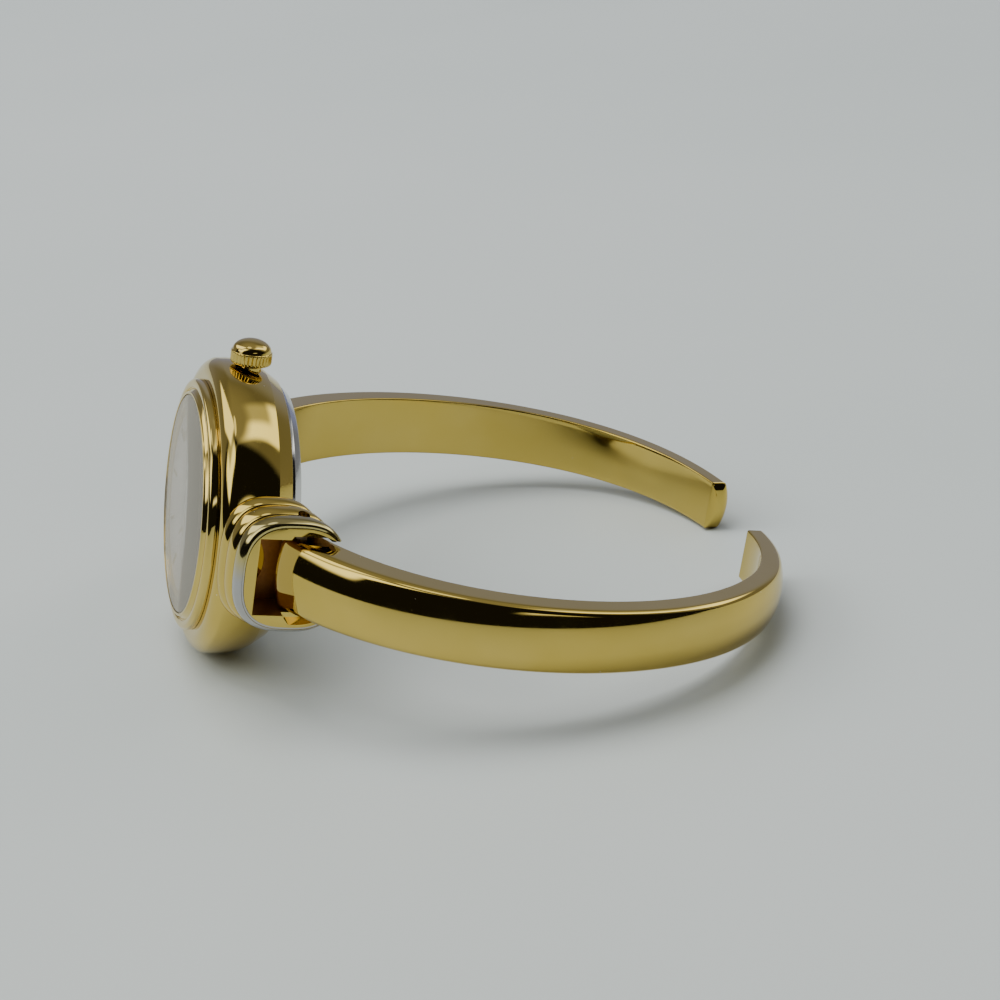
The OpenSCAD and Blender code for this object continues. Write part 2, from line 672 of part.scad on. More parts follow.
// Lug hoods: cast bosses with two gold ribs and a neck that carries the silver rib
module socket_cut() {
    translate([-socket_h / 2, socket_floor, -reach]) cube([socket_h, reach, reach]);
}
module pin_hole(r) {
    translate([-reach / 2, pin_y, pin_z]) rotate([0, 90, 0]) cylinder(r = r, h = reach);
}
module end_reliefs() {
    relief_from = hood_end - relief_l;
    for (side = [0, 1]) mirror([side, 0, 0]) intersection() {
        translate([relief_at[0], relief_from, relief_at[1]]) rotate([-90, 0, 0])
            cylinder(r = relief_r, h = relief_l + 1);
        loft([neck_oval(relief_from, -relief_rim), neck_oval(hood_end + 1, -relief_rim)]);
    }
}
module hood() {
    difference() {
        loft(concat(
            [hood_oval(hood_in, root_drop), hood_oval(rib_from - 0.05, root_drop)],
            rib_ovals(0, -1, 1), rib_ovals(1, -0.75, 1),
            [neck_oval(neck_from + fit_gap, 0), neck_oval(hood_end, 0)]));
        case_envelope(seat_gap);
        socket_cut();
        end_reliefs();
        pin_hole(pin_r + fit_gap);
    }
}
module lug_hood_six() { color("goldenrod") stand() six_side() hood(); }
module lug_hood_twelve() { color("goldenrod") stand() hood(); }

module accent_ring() {
    difference() {
        loft(concat(
            [hood_oval(neck_from + 2 * fit_gap, rib_h - 0.05)],
            rib_ovals(2, -0.75, 0),
            [for (y = [0.25, 0.5, 0.75, 1])
                silver_slope(mix(hood_end - rib_w / 2, silver_end, y))]));
        loft([neck_oval(neck_from - 1, fit_gap), neck_oval(hood_end + 1, fit_gap)]);
        socket_cut();
        pin_hole(pin_r + fit_gap);
    }
}
module accent_ring_six() { color("silver") stand() six_side() accent_ring(); }
module accent_ring_twelve() { color("silver") stand() accent_ring(); }

module hinge_pin() {
    half = mix(hood_root_w, hood_end_w, (pin_y - rib_from) / (hood_end - rib_from)) / 2;
    l = 2 * (half - pin_recess);
    translate([-l / 2, pin_y, pin_z]) rotate([0, 90, 0]) cylinder(r = pin_r, h = l);
}
module hinge_pin_six() { color("dimgray") stand() six_side() hinge_pin(); }
module hinge_pin_twelve() { color("dimgray") stand() hinge_pin(); }

module hinge_spring() {
    l = spring_share * socket_h;
    translate([-l / 2, socket_floor + seat_gap, pin_z - spring_w / 2])
        cube([l, spring_t, spring_w]);
}
module hinge_spring_six() { color("lightsteelblue") stand() six_side() hinge_spring(); }
module hinge_spring_twelve() { color("lightsteelblue") stand() hinge_spring(); }

// Arms: tapering D-section bars with a rounded root, and a domed cap pegged into the tip
module cap_peg(which, r, l) {
    p = bangle_at(which[0], which[1]) + tip_mid[0] * bangle_out(which[0], which[1]);
    a = tip_along(which);
    translate([-arm_low, p[1], -p[0]]) rotate([atan2(a[0], a[1]) + 90, 0, 0])
        translate([0, 0, -peg_sunk]) cylinder(r = r, h = l + peg_sunk);
}
module arm(which) {
    difference() {
        loft(arm_loops(which));
        translate([-socket_h / 2, root_end + root_flat - root_r, pin_z - root_r])
            cube([socket_h, root_r, 2 * root_r]);
        pin_hole(pin_r + run_gap);
        cap_peg(which, peg_r + fit_gap, peg_l + side_gap);
    }
}
module arm_six() { color("goldenrod") stand() six_side() arm(six_arm); }
module arm_twelve() { color("goldenrod") stand() arm(twelve_arm); }

module arm_cap(which) {
    union() {
        loft(cap_loops(which));
        cap_peg(which, peg_r, peg_l);
    }
}
module arm_cap_six() { color("gold") stand() six_side() arm_cap(six_arm); }
module arm_cap_twelve() { color("gold") stand() arm_cap(twelve_arm); }

// Crown, stem and keyless work
module crown() {
    color("gold") stand() along_stem() difference() {
        translate([0, 0, crown_from]) rotate_extrude() polygon(concat(
            [[0, 0], [crown_r - 0.1, 0], [crown_r, 0.1], [crown_r, crown_skirt_h - 0.08]],
            [for (a = [0:12:84]) [
                (crown_r - 0.12) * cos(a), crown_skirt_h + crown_dome_h * sin(a)]],
            [[0, crown_skirt_h + crown_dome_h]]));
        for (i = [0:crown_flutes - 1]) rotate([0, 0, 360 * i / crown_flutes])
            translate([crown_r + 0.03, 0, crown_from + 0.2])
                cylinder(r = flute_r, h = crown_skirt_h - 0.35, $fn = 16);
        disc(recess_r, crown_from - 1, recess_top);
        disc(stem_r + seat_gap, recess_top - 1, stem_out + seat_gap);
    }
}

module winding_stem() {
    color("silver") stand() union() {
        difference() {
            rod(stem_r, square_end - 0.2, stem_out);
            difference() {
                rod(stem_r + 1, groove_x - groove_w / 2, groove_x + groove_w / 2);
                rod(groove_r, groove_x - 1, groove_x + 1);
            }
        }
        translate([stem_in, -stem_square / 2, stem_z - stem_square / 2])
            cube([square_end - stem_in, stem_square, stem_square]);
    }
}

module crown_tube() {
    color("gold") stand() difference() {
        union() {
            rod(tube_r, bore_r + side_gap, collar_top);
            rod(collar_r, stem_flank_r - collar_seat + seat_gap, collar_top);
            rod(neck_r, collar_top - eps, neck_top);
        }
        rod(tube_bore_r, 0, crown_top);
    }
}

module crown_gasket() {
    color("black") stand() along_stem() translate([0, 0, crown_gasket_x]) rotate_extrude()
        translate([(neck_r + recess_r) / 2, 0]) circle(r = crown_gasket_r, $fn = 24);
}

module sliding_pinion() {
    color("silver") stand() difference() {
        rod(slider_r, slider_from, slider_to);
        difference() {
            rod(slider_r + 1, slider_groove_x - slider_groove_w / 2,
                slider_groove_x + slider_groove_w / 2);
            rod(slider_groove_r, slider_from - 1, slider_to + 1);
        }
        translate([slider_from - 1, -stem_square / 2 - fit_gap, stem_z - stem_square / 2 - fit_gap])
            cube([reach, stem_square + 2 * fit_gap, stem_square + 2 * fit_gap]);
        for (i = [0:clutch_notches - 1])
            along_stem() rotate([0, 0, 360 * (i + 0.5) / clutch_notches])
                translate([0.36, -0.08, slider_from - 1]) cube([1, 0.16, 1.2]);
    }
}

// A flat lever on a post, with a straight finger towards the stem
module finger_lever(at, tip_x, tip_y, tail) {
    finger = [tip_x, tip_y] - at;
    translate([0, 0, lever_z]) linear_extrude(lever_t) difference() {
        union() {
            translate(at) circle(r = lever_eye_r);
            translate(at) rotate(atan2(finger[1], finger[0]))
                translate([0, -lever_tip_w / 2]) square([norm(finger), lever_tip_w]);
            translate(at) rotate(tail) translate([0, -lever_tail_w / 2])
                square([lever_tail_l, lever_tail_w]);
        }
        translate(at) circle(r = post_r + run_gap);
    }
}
module setting_lever() {
    color("lightgrey") stand() finger_lever(lever_at, groove_x, groove_r + 2 * side_gap, 100);
}
module yoke() {
    color("lightgrey") stand()
        finger_lever(yoke_at, slider_groove_x, -slider_groove_r - side_gap, 200);
}

module setting_wheel() {
    color("khaki") stand() translate([setting_x, 0, 0]) union() {
        rotate([0, 0, setting_phase])
            toothed_wheel(setting_teeth, fine_module, motion_z, motion_z + wheel_t);
        disc(0.3, stem_z - 0.2, motion_z + wheel_t + 0.1);
        toothed_wheel(8, 2 * setting_pinion_r / 8 / 1.175, stem_z - 0.2, plate_z - side_gap);
    }
}

// Movement
module movement_ring() {
    color("whitesmoke") stand() difference() {
        disc(ring_r, skirt_top + fit_gap, plate_rim_top);
        disc(ring_bore_r, skirt_top - 1, plate_rim_top + 1);
        rod(stem_r + 0.15, 0, reach);
    }
}

module main_plate() {
    color("burlywood") stand() difference() {
        union() {
            difference() {
                disc(plate_r, plate_z, plate_rim_top);
                disc(plate_r - plate_rim_w, plate_top, plate_rim_top + 1);
            }
            translate([minute_at[0], minute_at[1], 0])
                disc(post_r, plate_top - eps, motion_upper_z + wheel_t + 0.1);
            for (p = [lever_at, yoke_at]) translate([p[0], p[1], 0]) {
                disc(post_shoulder_r, lever_z + lever_t + fit_gap, plate_z + eps);
                disc(post_r, lever_z - 0.1, plate_z + eps);
            }
            for (p = pillars) translate([p[0], p[1], 0])
                disc(pillar_r, bridge_top + seat_gap, plate_z + eps);
            for (p = board_posts) translate([p[0], p[1], 0])
                disc(board_post_r, board_z + board_t + seat_gap, plate_z + eps);
            translate([clamp_at[0], clamp_at[1], 0])
                disc(pillar_r, clamp_z + clamp_t + seat_gap, plate_z + eps);
            intersection() {
                translate([block_from, -block_w / 2, block_bottom])
                    cube([reach, block_w, plate_z - block_bottom + eps]);
                disc(plate_r, block_bottom - 1, plate_top);
            }
        }
        disc(arbor_r + run_gap, plate_z - 1, plate_top + 1);
        translate([setting_x, 0, 0]) disc(0.3 + run_gap, plate_z - 1, plate_top + 1);
        for (p = [step_at, rotor_at]) translate([p[0], p[1], 0])
            disc(pivot_r + run_gap, plate_z - 1, plate_top + 1);
        for (p = concat(pillars, [clamp_at])) translate([p[0], p[1], 0])
            disc(screw_hole_r, clamp_z - 1, plate_z + 0.4);
        rod(stem_r + run_gap, block_from - 1, reach);
    }
}

module train_bridge() {
    color("silver") stand() difference() {
        translate([0, 0, bridge_z]) linear_extrude(bridge_t) {
            for (p = concat(pillars, [[0, 0], step_at, rotor_at]))
                translate(p) circle(r = pillar_boss_r);
            polygon([pillars[0], pillars[1], rotor_at + [0.3, 0.3], pillars[2]]);
        }
        disc(arbor_r + run_gap, bridge_z - 1, bridge_top + 1);
        for (p = [step_at, rotor_at]) translate([p[0], p[1], 0])
            disc(pivot_r + run_gap, bridge_z - 1, bridge_top + 1);
        for (p = pillars) translate([p[0], p[1], 0])
            disc(screw_hole_r, bridge_z - 1, bridge_top + 1);
    }
}

module screw(under, l) {
    difference() {
        union() {
            disc(screw_r, under, under + l);
            disc(screw_head_r, under - screw_head_t, under);
        }
        translate([-screw_head_r - eps, -slot_w / 2, under - screw_head_t - eps])
            cube([2 * (screw_head_r + eps), slot_w, slot_w + eps]);
    }
}
module movement_screws() {
    color("steelblue") stand() {
        for (p = pillars) translate([p[0], p[1], 0]) screw(bridge_z - seat_gap, screw_l);
        translate([clamp_at[0], clamp_at[1], 0]) screw(clamp_z - seat_gap, screw_l);
    }
}

module dial() {
    color("white") stand() difference() {
        disc(dial_r, dial_z, dial_top);
        disc(dial_hole_r, dial_z - 1, dial_top + 1);
    }
}

module hour_markers() {
    color("gold") stand() for (i = [0:11]) rotate([0, 0, 30 * i])
        translate([-marker_w / 2, marker_mid_r - marker_l / 2, dial_top + seat_gap])
            cube([marker_w, marker_l, marker_h]);
}

// A lance-shaped hand with a round boss on its pipe
module hand(l, z, turn, boss_r, hole_r) {
    rotate([0, 0, turn]) translate([0, 0, z]) linear_extrude(hand_t) difference() {
        union() {
            circle(r = boss_r);
            polygon([[-tail_w / 2, -hand_tail], [tail_w / 2, -hand_tail],
                [hand_w / 2, 0.45 * l], [0, l], [-hand_w / 2, 0.45 * l]]);
        }
        circle(r = hole_r);
    }
}
module hour_hand() {
    color("gold") stand()
        hand(hour_hand_l, hour_hand_z, hour_hand_turn, hour_boss_r, hour_pipe_r + seat_gap);
}
module minute_hand() {
    color("gold") stand()
        hand(minute_hand_l, minute_hand_z, minute_hand_turn, minute_boss_r, cannon_r + seat_gap);
}

module cannon_pinion() {
    color("silver") stand() difference() {
        union() {
            rotate([0, 0, minute_turn])
                toothed_wheel(cannon_teeth, fine_module, motion_z, motion_z + wheel_t);
            disc(cannon_r, motion_z, minute_hand_z + hand_t + 0.04);
        }
        disc(arbor_r + seat_gap, motion_z - 1, minute_hand_z + 1);
    }
}

module hour_wheel() {
    color("gold") stand() difference() {
        union() {
            rotate([0, 0, minute_turn])
                toothed_wheel(hour_teeth, hour_module, motion_upper_z, motion_upper_z + wheel_t);
            disc(hour_pipe_r, motion_upper_z, hour_hand_z + hand_t + 0.04);
        }
        disc(hour_pipe_in, motion_upper_z - 1, minute_hand_z + 1);
    }
}

module minute_wheel() {
    color("gold") stand() translate([minute_at[0], minute_at[1], 0]) difference() {
        union() {
            rotate([0, 0, minute_phase])
                toothed_wheel(minute_teeth, fine_module, motion_z, motion_z + wheel_t);
            rotate([0, 0, minute_turn + 180 + 180 / minute_pinion_teeth])
                toothed_wheel(minute_pinion_teeth, hour_module, motion_z,
                    motion_upper_z + wheel_t);
        }
        disc(post_r + run_gap, motion_z - 1, motion_upper_z + 1);
    }
}

module centre_wheel() {
    color("khaki") stand() union() {
        rotate([0, 0, step_turn])
            toothed_wheel(centre_teeth, train_module, lower_train_z, lower_train_z + wheel_t);
        disc(arbor_r, bridge_z, minute_hand_z);
        disc(0.45, lower_train_z, lower_train_z + 0.4);
    }
}

module intermediate_wheel() {
    color("khaki") stand() translate([step_at[0], step_at[1], 0]) union() {
        rotate([0, 0, step_turn + 180 + 180 / step_pinion_teeth])
            toothed_wheel(step_pinion_teeth, train_module, lower_train_z - 0.03,
                upper_train_z - 0.03);
        rotate([0, 0, rotor_turn])
            toothed_wheel(step_teeth, train_module, upper_train_z, upper_train_z + wheel_t);
        disc(train_arbor_r, bridge_top + fit_gap, plate_z - fit_gap);
        disc(pivot_r, bridge_z, plate_z + 0.5);
    }
}

module rotor() {
    color("darkslategray") stand() translate([rotor_at[0], rotor_at[1], 0]) union() {
        disc(magnet_r, stator_top - stator_t / 2 - magnet_t / 2,
            stator_top - stator_t / 2 + magnet_t / 2);
        rotate([0, 0, rotor_turn + 180 + 180 / rotor_teeth])
            toothed_wheel(rotor_teeth, train_module, upper_train_z - 0.04, stator_top - stator_t);
        disc(train_arbor_r, bridge_top + fit_gap, plate_z - fit_gap);
        disc(pivot_r, bridge_z, plate_z + 0.5);
    }
}

module stator() {
    left = [coil_from - core_over / 2, coil_y];
    right = [coil_to + core_over / 2, coil_y];
    color("slategray") stand() translate([0, 0, stator_top - stator_t])
        linear_extrude(stator_t) difference() {
            union() {
                translate(rotor_at) circle(r = stator_ring_r);
                polygon([rotor_at + [-1.3, -0.7], rotor_at + [0.3, 1.5], left + [0.45, -0.9],
                    left + [0.45, 0.4], left + [-0.45, 0.4], left + [-0.45, -1.4]]);
                polygon([rotor_at + [0.6, 0.9], right + [-0.45, -1.7], right + [0.45, -1.7],
                    right + [0.45, 0.4], right + [-0.45, 0.4], right + [-0.45, -1.1],
                    rotor_at + [0.2, 1.53]]);
            }
            translate(rotor_at) circle(r = stator_bore_r);
        }
}

module coil_core() {
    color("gray") stand() translate([coil_from - core_over, coil_y - core_w / 2, core_z])
        cube([coil_to - coil_from + 2 * core_over, core_w, core_t]);
}

module coil() {
    color("peru") stand() difference() {
        translate([coil_from, coil_y, coil_z]) rotate([0, 90, 0])
            cylinder(r = coil_r, h = coil_to - coil_from);
        translate([coil_from - core_over, coil_y - core_w / 2 - fit_gap, core_z - fit_gap])
            cube([coil_to - coil_from + 2 * core_over, core_w + 2 * fit_gap,
                core_t + 2 * fit_gap]);
    }
}

module circuit_board() {
    color("darkolivegreen") stand() translate([0, 0, board_z]) linear_extrude(board_t)
        intersection() {
            circle(r = plate_r - board_rim);
            translate([board_edge[0], board_edge[1] - reach]) square([reach, reach]);
        }
}

module circuit_chip() {
    color("black") stand()
        translate([chip_at[0] - chip_w / 2, chip_at[1] - chip_w / 2, board_z + board_t + seat_gap])
            cube([chip_w, chip_w, chip_t]);
}

module quartz_can() {
    color("silver") stand()
        translate([quartz_from[0], quartz_from[1], board_z + board_t + seat_gap + quartz_r])
            rotate([0, 90, quartz_turn]) cylinder(r = quartz_r, h = quartz_l);
}

module battery() {
    color("silver") stand() translate([battery_at[0], battery_at[1], 0]) union() {
        disc(battery_r, battery_z + 0.3, battery_top);
        disc(battery_r - 0.5, battery_z, battery_z + 0.31);
    }
}

module battery_clamp() {
    color("lightgrey") stand() translate([0, 0, clamp_z]) linear_extrude(clamp_t) difference() {
        union() {
            translate(clamp_at) circle(r = clamp_eye_r);
            translate(battery_at) circle(r = clamp_pad_r);
            translate(battery_at) rotate(atan2(clamp_at[1] - battery_at[1],
                clamp_at[0] - battery_at[0])) translate([0, -clamp_strip_w / 2])
                    square([norm(clamp_at - battery_at), clamp_strip_w]);
        }
        translate(clamp_at) circle(r = screw_hole_r);
    }
}

case_body();
bezel();
crystal();
crystal_gasket();
caseback();
caseback_gasket();
lug_hood_six();
lug_hood_twelve();
accent_ring_six();
accent_ring_twelve();
hinge_pin_six();
hinge_pin_twelve();
hinge_spring_six();
hinge_spring_twelve();
arm_six();
arm_twelve();
arm_cap_six();
arm_cap_twelve();
crown();
winding_stem();
crown_tube();
crown_gasket();
sliding_pinion();
setting_lever();
yoke();
setting_wheel();
movement_ring();
main_plate();
train_bridge();
movement_screws();
dial();
hour_markers();
hour_hand();
minute_hand();
cannon_pinion();
hour_wheel();
minute_wheel();
centre_wheel();
intermediate_wheel();
rotor();
stator();
coil();
coil_core();
circuit_board();
circuit_chip();
quartz_can();
battery();
battery_clamp();
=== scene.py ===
"""A lady's gold cuff watch standing on its side: the polished case between two ribbed lug
hoods, the two arms of the cuff, the crown and the crystal over a pearl dial."""

import json
import math

import bmesh
import bpy
from mathutils import Matrix, Vector


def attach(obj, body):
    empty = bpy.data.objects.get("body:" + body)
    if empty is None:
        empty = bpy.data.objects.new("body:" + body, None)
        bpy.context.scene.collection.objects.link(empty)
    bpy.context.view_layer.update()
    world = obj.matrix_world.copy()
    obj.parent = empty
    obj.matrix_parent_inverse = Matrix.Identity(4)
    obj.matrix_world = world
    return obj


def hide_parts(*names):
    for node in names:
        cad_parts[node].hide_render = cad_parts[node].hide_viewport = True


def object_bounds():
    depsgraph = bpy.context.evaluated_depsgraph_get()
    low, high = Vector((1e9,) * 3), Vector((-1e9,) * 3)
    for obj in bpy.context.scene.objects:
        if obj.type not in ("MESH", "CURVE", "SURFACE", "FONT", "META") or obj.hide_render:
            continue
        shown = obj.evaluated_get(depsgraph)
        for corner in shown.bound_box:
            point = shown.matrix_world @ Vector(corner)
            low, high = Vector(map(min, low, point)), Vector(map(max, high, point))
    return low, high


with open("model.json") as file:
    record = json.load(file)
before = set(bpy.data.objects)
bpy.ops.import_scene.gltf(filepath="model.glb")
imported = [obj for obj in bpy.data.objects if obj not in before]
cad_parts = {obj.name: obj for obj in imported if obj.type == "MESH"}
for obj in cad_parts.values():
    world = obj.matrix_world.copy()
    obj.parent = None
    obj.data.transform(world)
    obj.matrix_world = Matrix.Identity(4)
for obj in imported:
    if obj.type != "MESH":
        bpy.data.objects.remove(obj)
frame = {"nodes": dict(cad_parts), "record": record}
cad_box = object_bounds()
scene = bpy.context.scene
MM = 0.001

# Where the watch head sits
# Pieces are drawn in millimetres with the watch dial up: Z out of the dial, X to the crown,
# Y to twelve o'clock. Their place as the watch stands comes from the frame itself.
JOINTS = {joint["name"]: joint for joint in frame["record"]["behaviour"]["joints"]}
CASE_BACK = frame["record"]["mounts"][0]
to_crown = Vector(JOINTS["crown_pull"]["axis"])
to_twelve = Vector((0, 1, 0))
out_of_dial = -Vector(CASE_BACK["axis"])
CASE_BACK_FACE = -4.61
flank_middle = Vector(CASE_BACK["pos_m"]) - out_of_dial * (CASE_BACK_FACE * MM)
STOOD = Matrix((
    (to_crown.x, to_twelve.x, out_of_dial.x, flank_middle.x),
    (to_crown.y, to_twelve.y, out_of_dial.y, flank_middle.y),
    (to_crown.z, to_twelve.z, out_of_dial.z, flank_middle.z),
    (0, 0, 0, 1))) @ Matrix.Scale(MM, 4)
SIX_SIDE = Matrix.Scale(-1, 4, (0, 1, 0))
STEM_HEIGHT = -0.88
ALONG_STEM = Matrix.Translation((0, 0, STEM_HEIGHT)) @ Matrix.Rotation(math.radians(90), 4, "Y")

# Camera
# The photograph's own view: from the six o'clock side, a little above, dial to the left.
camera_data = bpy.data.cameras.new("photo_camera")
camera_data.lens = 86.305
camera_data.sensor_width = 36
camera_data.clip_start = 0.01
camera = bpy.data.objects.new("photo_camera", camera_data)
camera.location = (-0.046058, -0.197494, 0.094042)
camera.rotation_euler = (1.175479, 0.055912, -0.2679)
scene.collection.objects.link(camera)
scene.camera = camera


# Shader helpers
def wired(tree, node_type, values=None, **inputs):
    """A node of the type, its settings given and its inputs wired or set by name."""
    node = tree.nodes.new(node_type)
    for name, value in (values or {}).items():
        setattr(node, name, value)
    for name, value in inputs.items():
        key = int(name[1:]) if name[0] == "_" else name.replace("_", " ")
        if isinstance(value, bpy.types.NodeSocket):
            tree.links.new(value, node.inputs[key])
        else:
            node.inputs[key].default_value = value
    return node


def ramp(tree, factor, stops):
    """A colour ramp over the factor; each stop is a place and a grey or a colour."""
    node = tree.nodes.new("ShaderNodeValToRGB")
    tree.links.new(factor, node.inputs["Fac"])
    while len(node.color_ramp.elements) < len(stops):
        node.color_ramp.elements.new(0.5)
    for element, (place, colour) in zip(node.color_ramp.elements, stops):
        element.position = place
        tone = (colour, colour, colour) if isinstance(colour, (int, float)) else colour
        element.color = (*tone, 1)
    return node.outputs["Color"]


def maths(tree, operation, *values):
    """The sum, product or the like of sockets and numbers."""
    given = {"_%d" % i: value for i, value in enumerate(values)}
    return wired(tree, "ShaderNodeMath", {"operation": operation}, **given).outputs[0]


def on_piece(tree):
    """The place on the piece, in metres."""
    return wired(tree, "ShaderNodeTexCoord").outputs["Object"]


def noise(tree, place, scale, detail, **more):
    """Soft noise at the place, from 0 to 1."""
    node = wired(tree, "ShaderNodeTexNoise", Vector=place, Scale=scale, Detail=detail, **more)
    return node.outputs["Fac"]


def drawn_out(tree, place, **how):
    """The place turned or stretched, so that a texture over it is drawn out."""
    return wired(tree, "ShaderNodeMapping", Vector=place, **how).outputs[0]


def mixed(tree, share, first, second):
    """Two colours mixed: all of the second where the share is 1."""
    node = wired(tree, "ShaderNodeMix", {"data_type": "RGBA"}, _0=share, _6=first, _7=second)
    return node.outputs[2]


def remapped(tree, value, ends, onto):
    """The value's stretch between the two ends, laid onto another stretch."""
    node = wired(tree, "ShaderNodeMapRange", _0=value, _1=ends[0], _2=ends[1], _3=onto[0],
                 _4=onto[1])
    return node.outputs[0]


def given_relief(tree, shader, height, strength, depth, inwards=False):
    """Gives the shader a relief of the height, its depth in millimetres."""
    relief = wired(tree, "ShaderNodeBump", {"invert": inwards}, Strength=strength,
                   Distance=depth * MM, Height=height)
    tree.links.new(relief.outputs[0], shader.inputs["Normal"])


def shown_as(tree, surface):
    """Puts the surface on the material in place of its plain shader."""
    output = next(n for n in tree.nodes if n.type == "OUTPUT_MATERIAL")
    tree.links.new(surface, output.inputs["Surface"])


def group_with(name, sockets_in, sockets_out):
    """An empty shader group with its named inputs and outputs."""
    tree = bpy.data.node_groups.new(name, "ShaderNodeTree")
    for socket, kind, value in sockets_in:
        made = tree.interface.new_socket(socket, in_out="INPUT", socket_type=kind)
        if value is not None:
            made.default_value = value
    for socket, kind in sockets_out:
        tree.interface.new_socket(socket, in_out="OUTPUT", socket_type=kind)
    return tree, tree.nodes.new("NodeGroupInput"), tree.nodes.new("NodeGroupOutput")


SCRATCH_DULLS = 0.16
SMEAR_DULLS = 0.08
SCRATCH_DEPTH = 0.004
DUST_COLOUR = (0.75, 0.72, 0.64, 1)
DUST_DULLS = 0.5


def fine_wear_group():
    """Hair scratches, soft handling smears and a few specks of dust on polished metal."""
    tree, given, made = group_with(
        "fine_wear",
        [("Scratches", "NodeSocketFloat", 0.5), ("Smears", "NodeSocketFloat", 0.5),
         ("Specks", "NodeSocketFloat", 0.3)],
        [("Roughness Added", "NodeSocketFloat"), ("Height", "NodeSocketFloat"),
         ("Dust", "NodeSocketFloat")])
    place = on_piece(tree)
    hairs = noise(tree, drawn_out(tree, place, Rotation=(0.5, 0.9, 0.3),
                                  Scale=(400, 5200, 5200)), 1.0, 3.0)
    hairs_across = noise(tree, drawn_out(tree, place, Rotation=(1.1, -0.4, 1.7),
                                         Scale=(6000, 500, 6000)), 1.0, 3.0)
    sharp = ramp(tree, maths(tree, "MAXIMUM", hairs, hairs_across), [(0.62, 0.0), (0.72, 1.0)])
    patchy = ramp(tree, noise(tree, place, 260.0, 4.0), [(0.42, 0.0), (0.68, 1.0)])
    scratch = maths(tree, "MULTIPLY", maths(tree, "MULTIPLY", sharp, patchy),
                    given.outputs["Scratches"])
    smears = noise(tree, place, 420.0, 5.0, Roughness=0.62, Distortion=0.6)
    smear = maths(tree, "MULTIPLY", ramp(tree, smears, [(0.48, 0.0), (0.74, 1.0)]),
                  given.outputs["Smears"])
    added = maths(tree, "MULTIPLY_ADD", smear, SMEAR_DULLS,
                  maths(tree, "MULTIPLY", scratch, SCRATCH_DULLS))
    tree.links.new(added, made.inputs["Roughness Added"])
    tree.links.new(scratch, made.inputs["Height"])
    cells = wired(tree, "ShaderNodeTexVoronoi", Vector=place, Scale=900.0)
    specks = ramp(tree, cells.outputs["Distance"], [(0.035, 1.0), (0.06, 0.0)])
    few = ramp(tree, noise(tree, place, 700.0, 1.0), [(0.6, 0.0), (0.64, 1.0)])
    dust = maths(tree, "MULTIPLY", maths(tree, "MULTIPLY", specks, few),
                 given.outputs["Specks"])
    tree.links.new(dust, made.inputs["Dust"])
    return tree


def tone_group():
    """Slow drift of a finish between two close tones."""
    tree, given, made = group_with(
        "tone_drift",
        [("Tone", "NodeSocketColor", None), ("Other Tone", "NodeSocketColor", None),
         ("Scale", "NodeSocketFloat", 120.0)],
        [("Color", "NodeSocketColor")])
    drift = noise(tree, on_piece(tree), given.outputs["Scale"], 3.0)
    spread = ramp(tree, drift, [(0.35, 0.0), (0.65, 1.0)])
    tone = mixed(tree, spread, given.outputs["Tone"], given.outputs["Other Tone"])
    tree.links.new(tone, made.inputs["Color"])
    return tree


FINE_WEAR = fine_wear_group()
TONE_DRIFT = tone_group()


def placed(tree, group, **inputs):
    """The shared group in a material's tree, with this material's values."""
    node = wired(tree, "ShaderNodeGroup", {"node_tree": group})
    for name, value in inputs.items():
        socket = node.inputs[name.replace("_", " ")]
        socket.default_value = (*value, 1) if isinstance(value, tuple) else value
    return node


def new_finish(name, **settings):
    """A bare material: its tree and its Principled shader, set as given."""
    material = bpy.data.materials.new(name)
    material.use_nodes = True
    tree = material.node_tree
    shader = next(n for n in tree.nodes if n.type == "BSDF_PRINCIPLED")
    for setting, value in settings.items():
        shader.inputs[setting.replace("_", " ")].default_value = value
    return material, tree, shader


def toned(tree, shader, tone, other, **more):
    """Colours the shader with a slow drift between two tones."""
    drift = placed(tree, TONE_DRIFT, Tone=tone, Other_Tone=other, **more)
    tree.links.new(drift.outputs["Color"], shader.inputs["Base Color"])


def glossed(tree, shader, grain, least, most):
    """Lets the shader's roughness follow a grain, between the least and the most."""
    gloss = remapped(tree, grain, (0.3, 0.7), (least, most))
    tree.links.new(gloss, shader.inputs["Roughness"])


def polished_metal(name, tone, other, roughness, scratches=0.5, smears=0.5, specks=0.3):
    """Polished plate with fine wear: tones drift, scratches and smears change the gloss."""
    material, tree, shader = new_finish(name, Metallic=1.0)
    drift = placed(tree, TONE_DRIFT, Tone=tone, Other_Tone=other)
    wear = placed(tree, FINE_WEAR, Scratches=scratches, Smears=smears, Specks=specks)
    dusted = mixed(tree, wear.outputs["Dust"], drift.outputs["Color"], DUST_COLOUR)
    tree.links.new(dusted, shader.inputs["Base Color"])
    worn = maths(tree, "ADD", wear.outputs["Roughness Added"], roughness)
    gloss = maths(tree, "MULTIPLY_ADD", wear.outputs["Dust"], DUST_DULLS, worn)
    tree.links.new(gloss, shader.inputs["Roughness"])
    given_relief(tree, shader, wear.outputs["Height"], 0.25, SCRATCH_DEPTH, True)
    return material


def painted_gold_reflection(material, tone, low, high):
    """Warms a plate from the low height to the high one: a painted reflection of the gold beside
    it.
    """
    tree = material.node_tree
    shader = next(n for n in tree.nodes if n.type == "BSDF_PRINCIPLED")
    plate = shader.inputs["Base Color"].links[0].from_socket
    height = wired(tree, "ShaderNodeSeparateXYZ", _0=on_piece(tree)).outputs["Z"]
    share = remapped(tree, height, (low * MM, high * MM), (0.0, 1.0))
    tree.links.new(mixed(tree, share, plate, (*tone, 1)), shader.inputs["Base Color"])


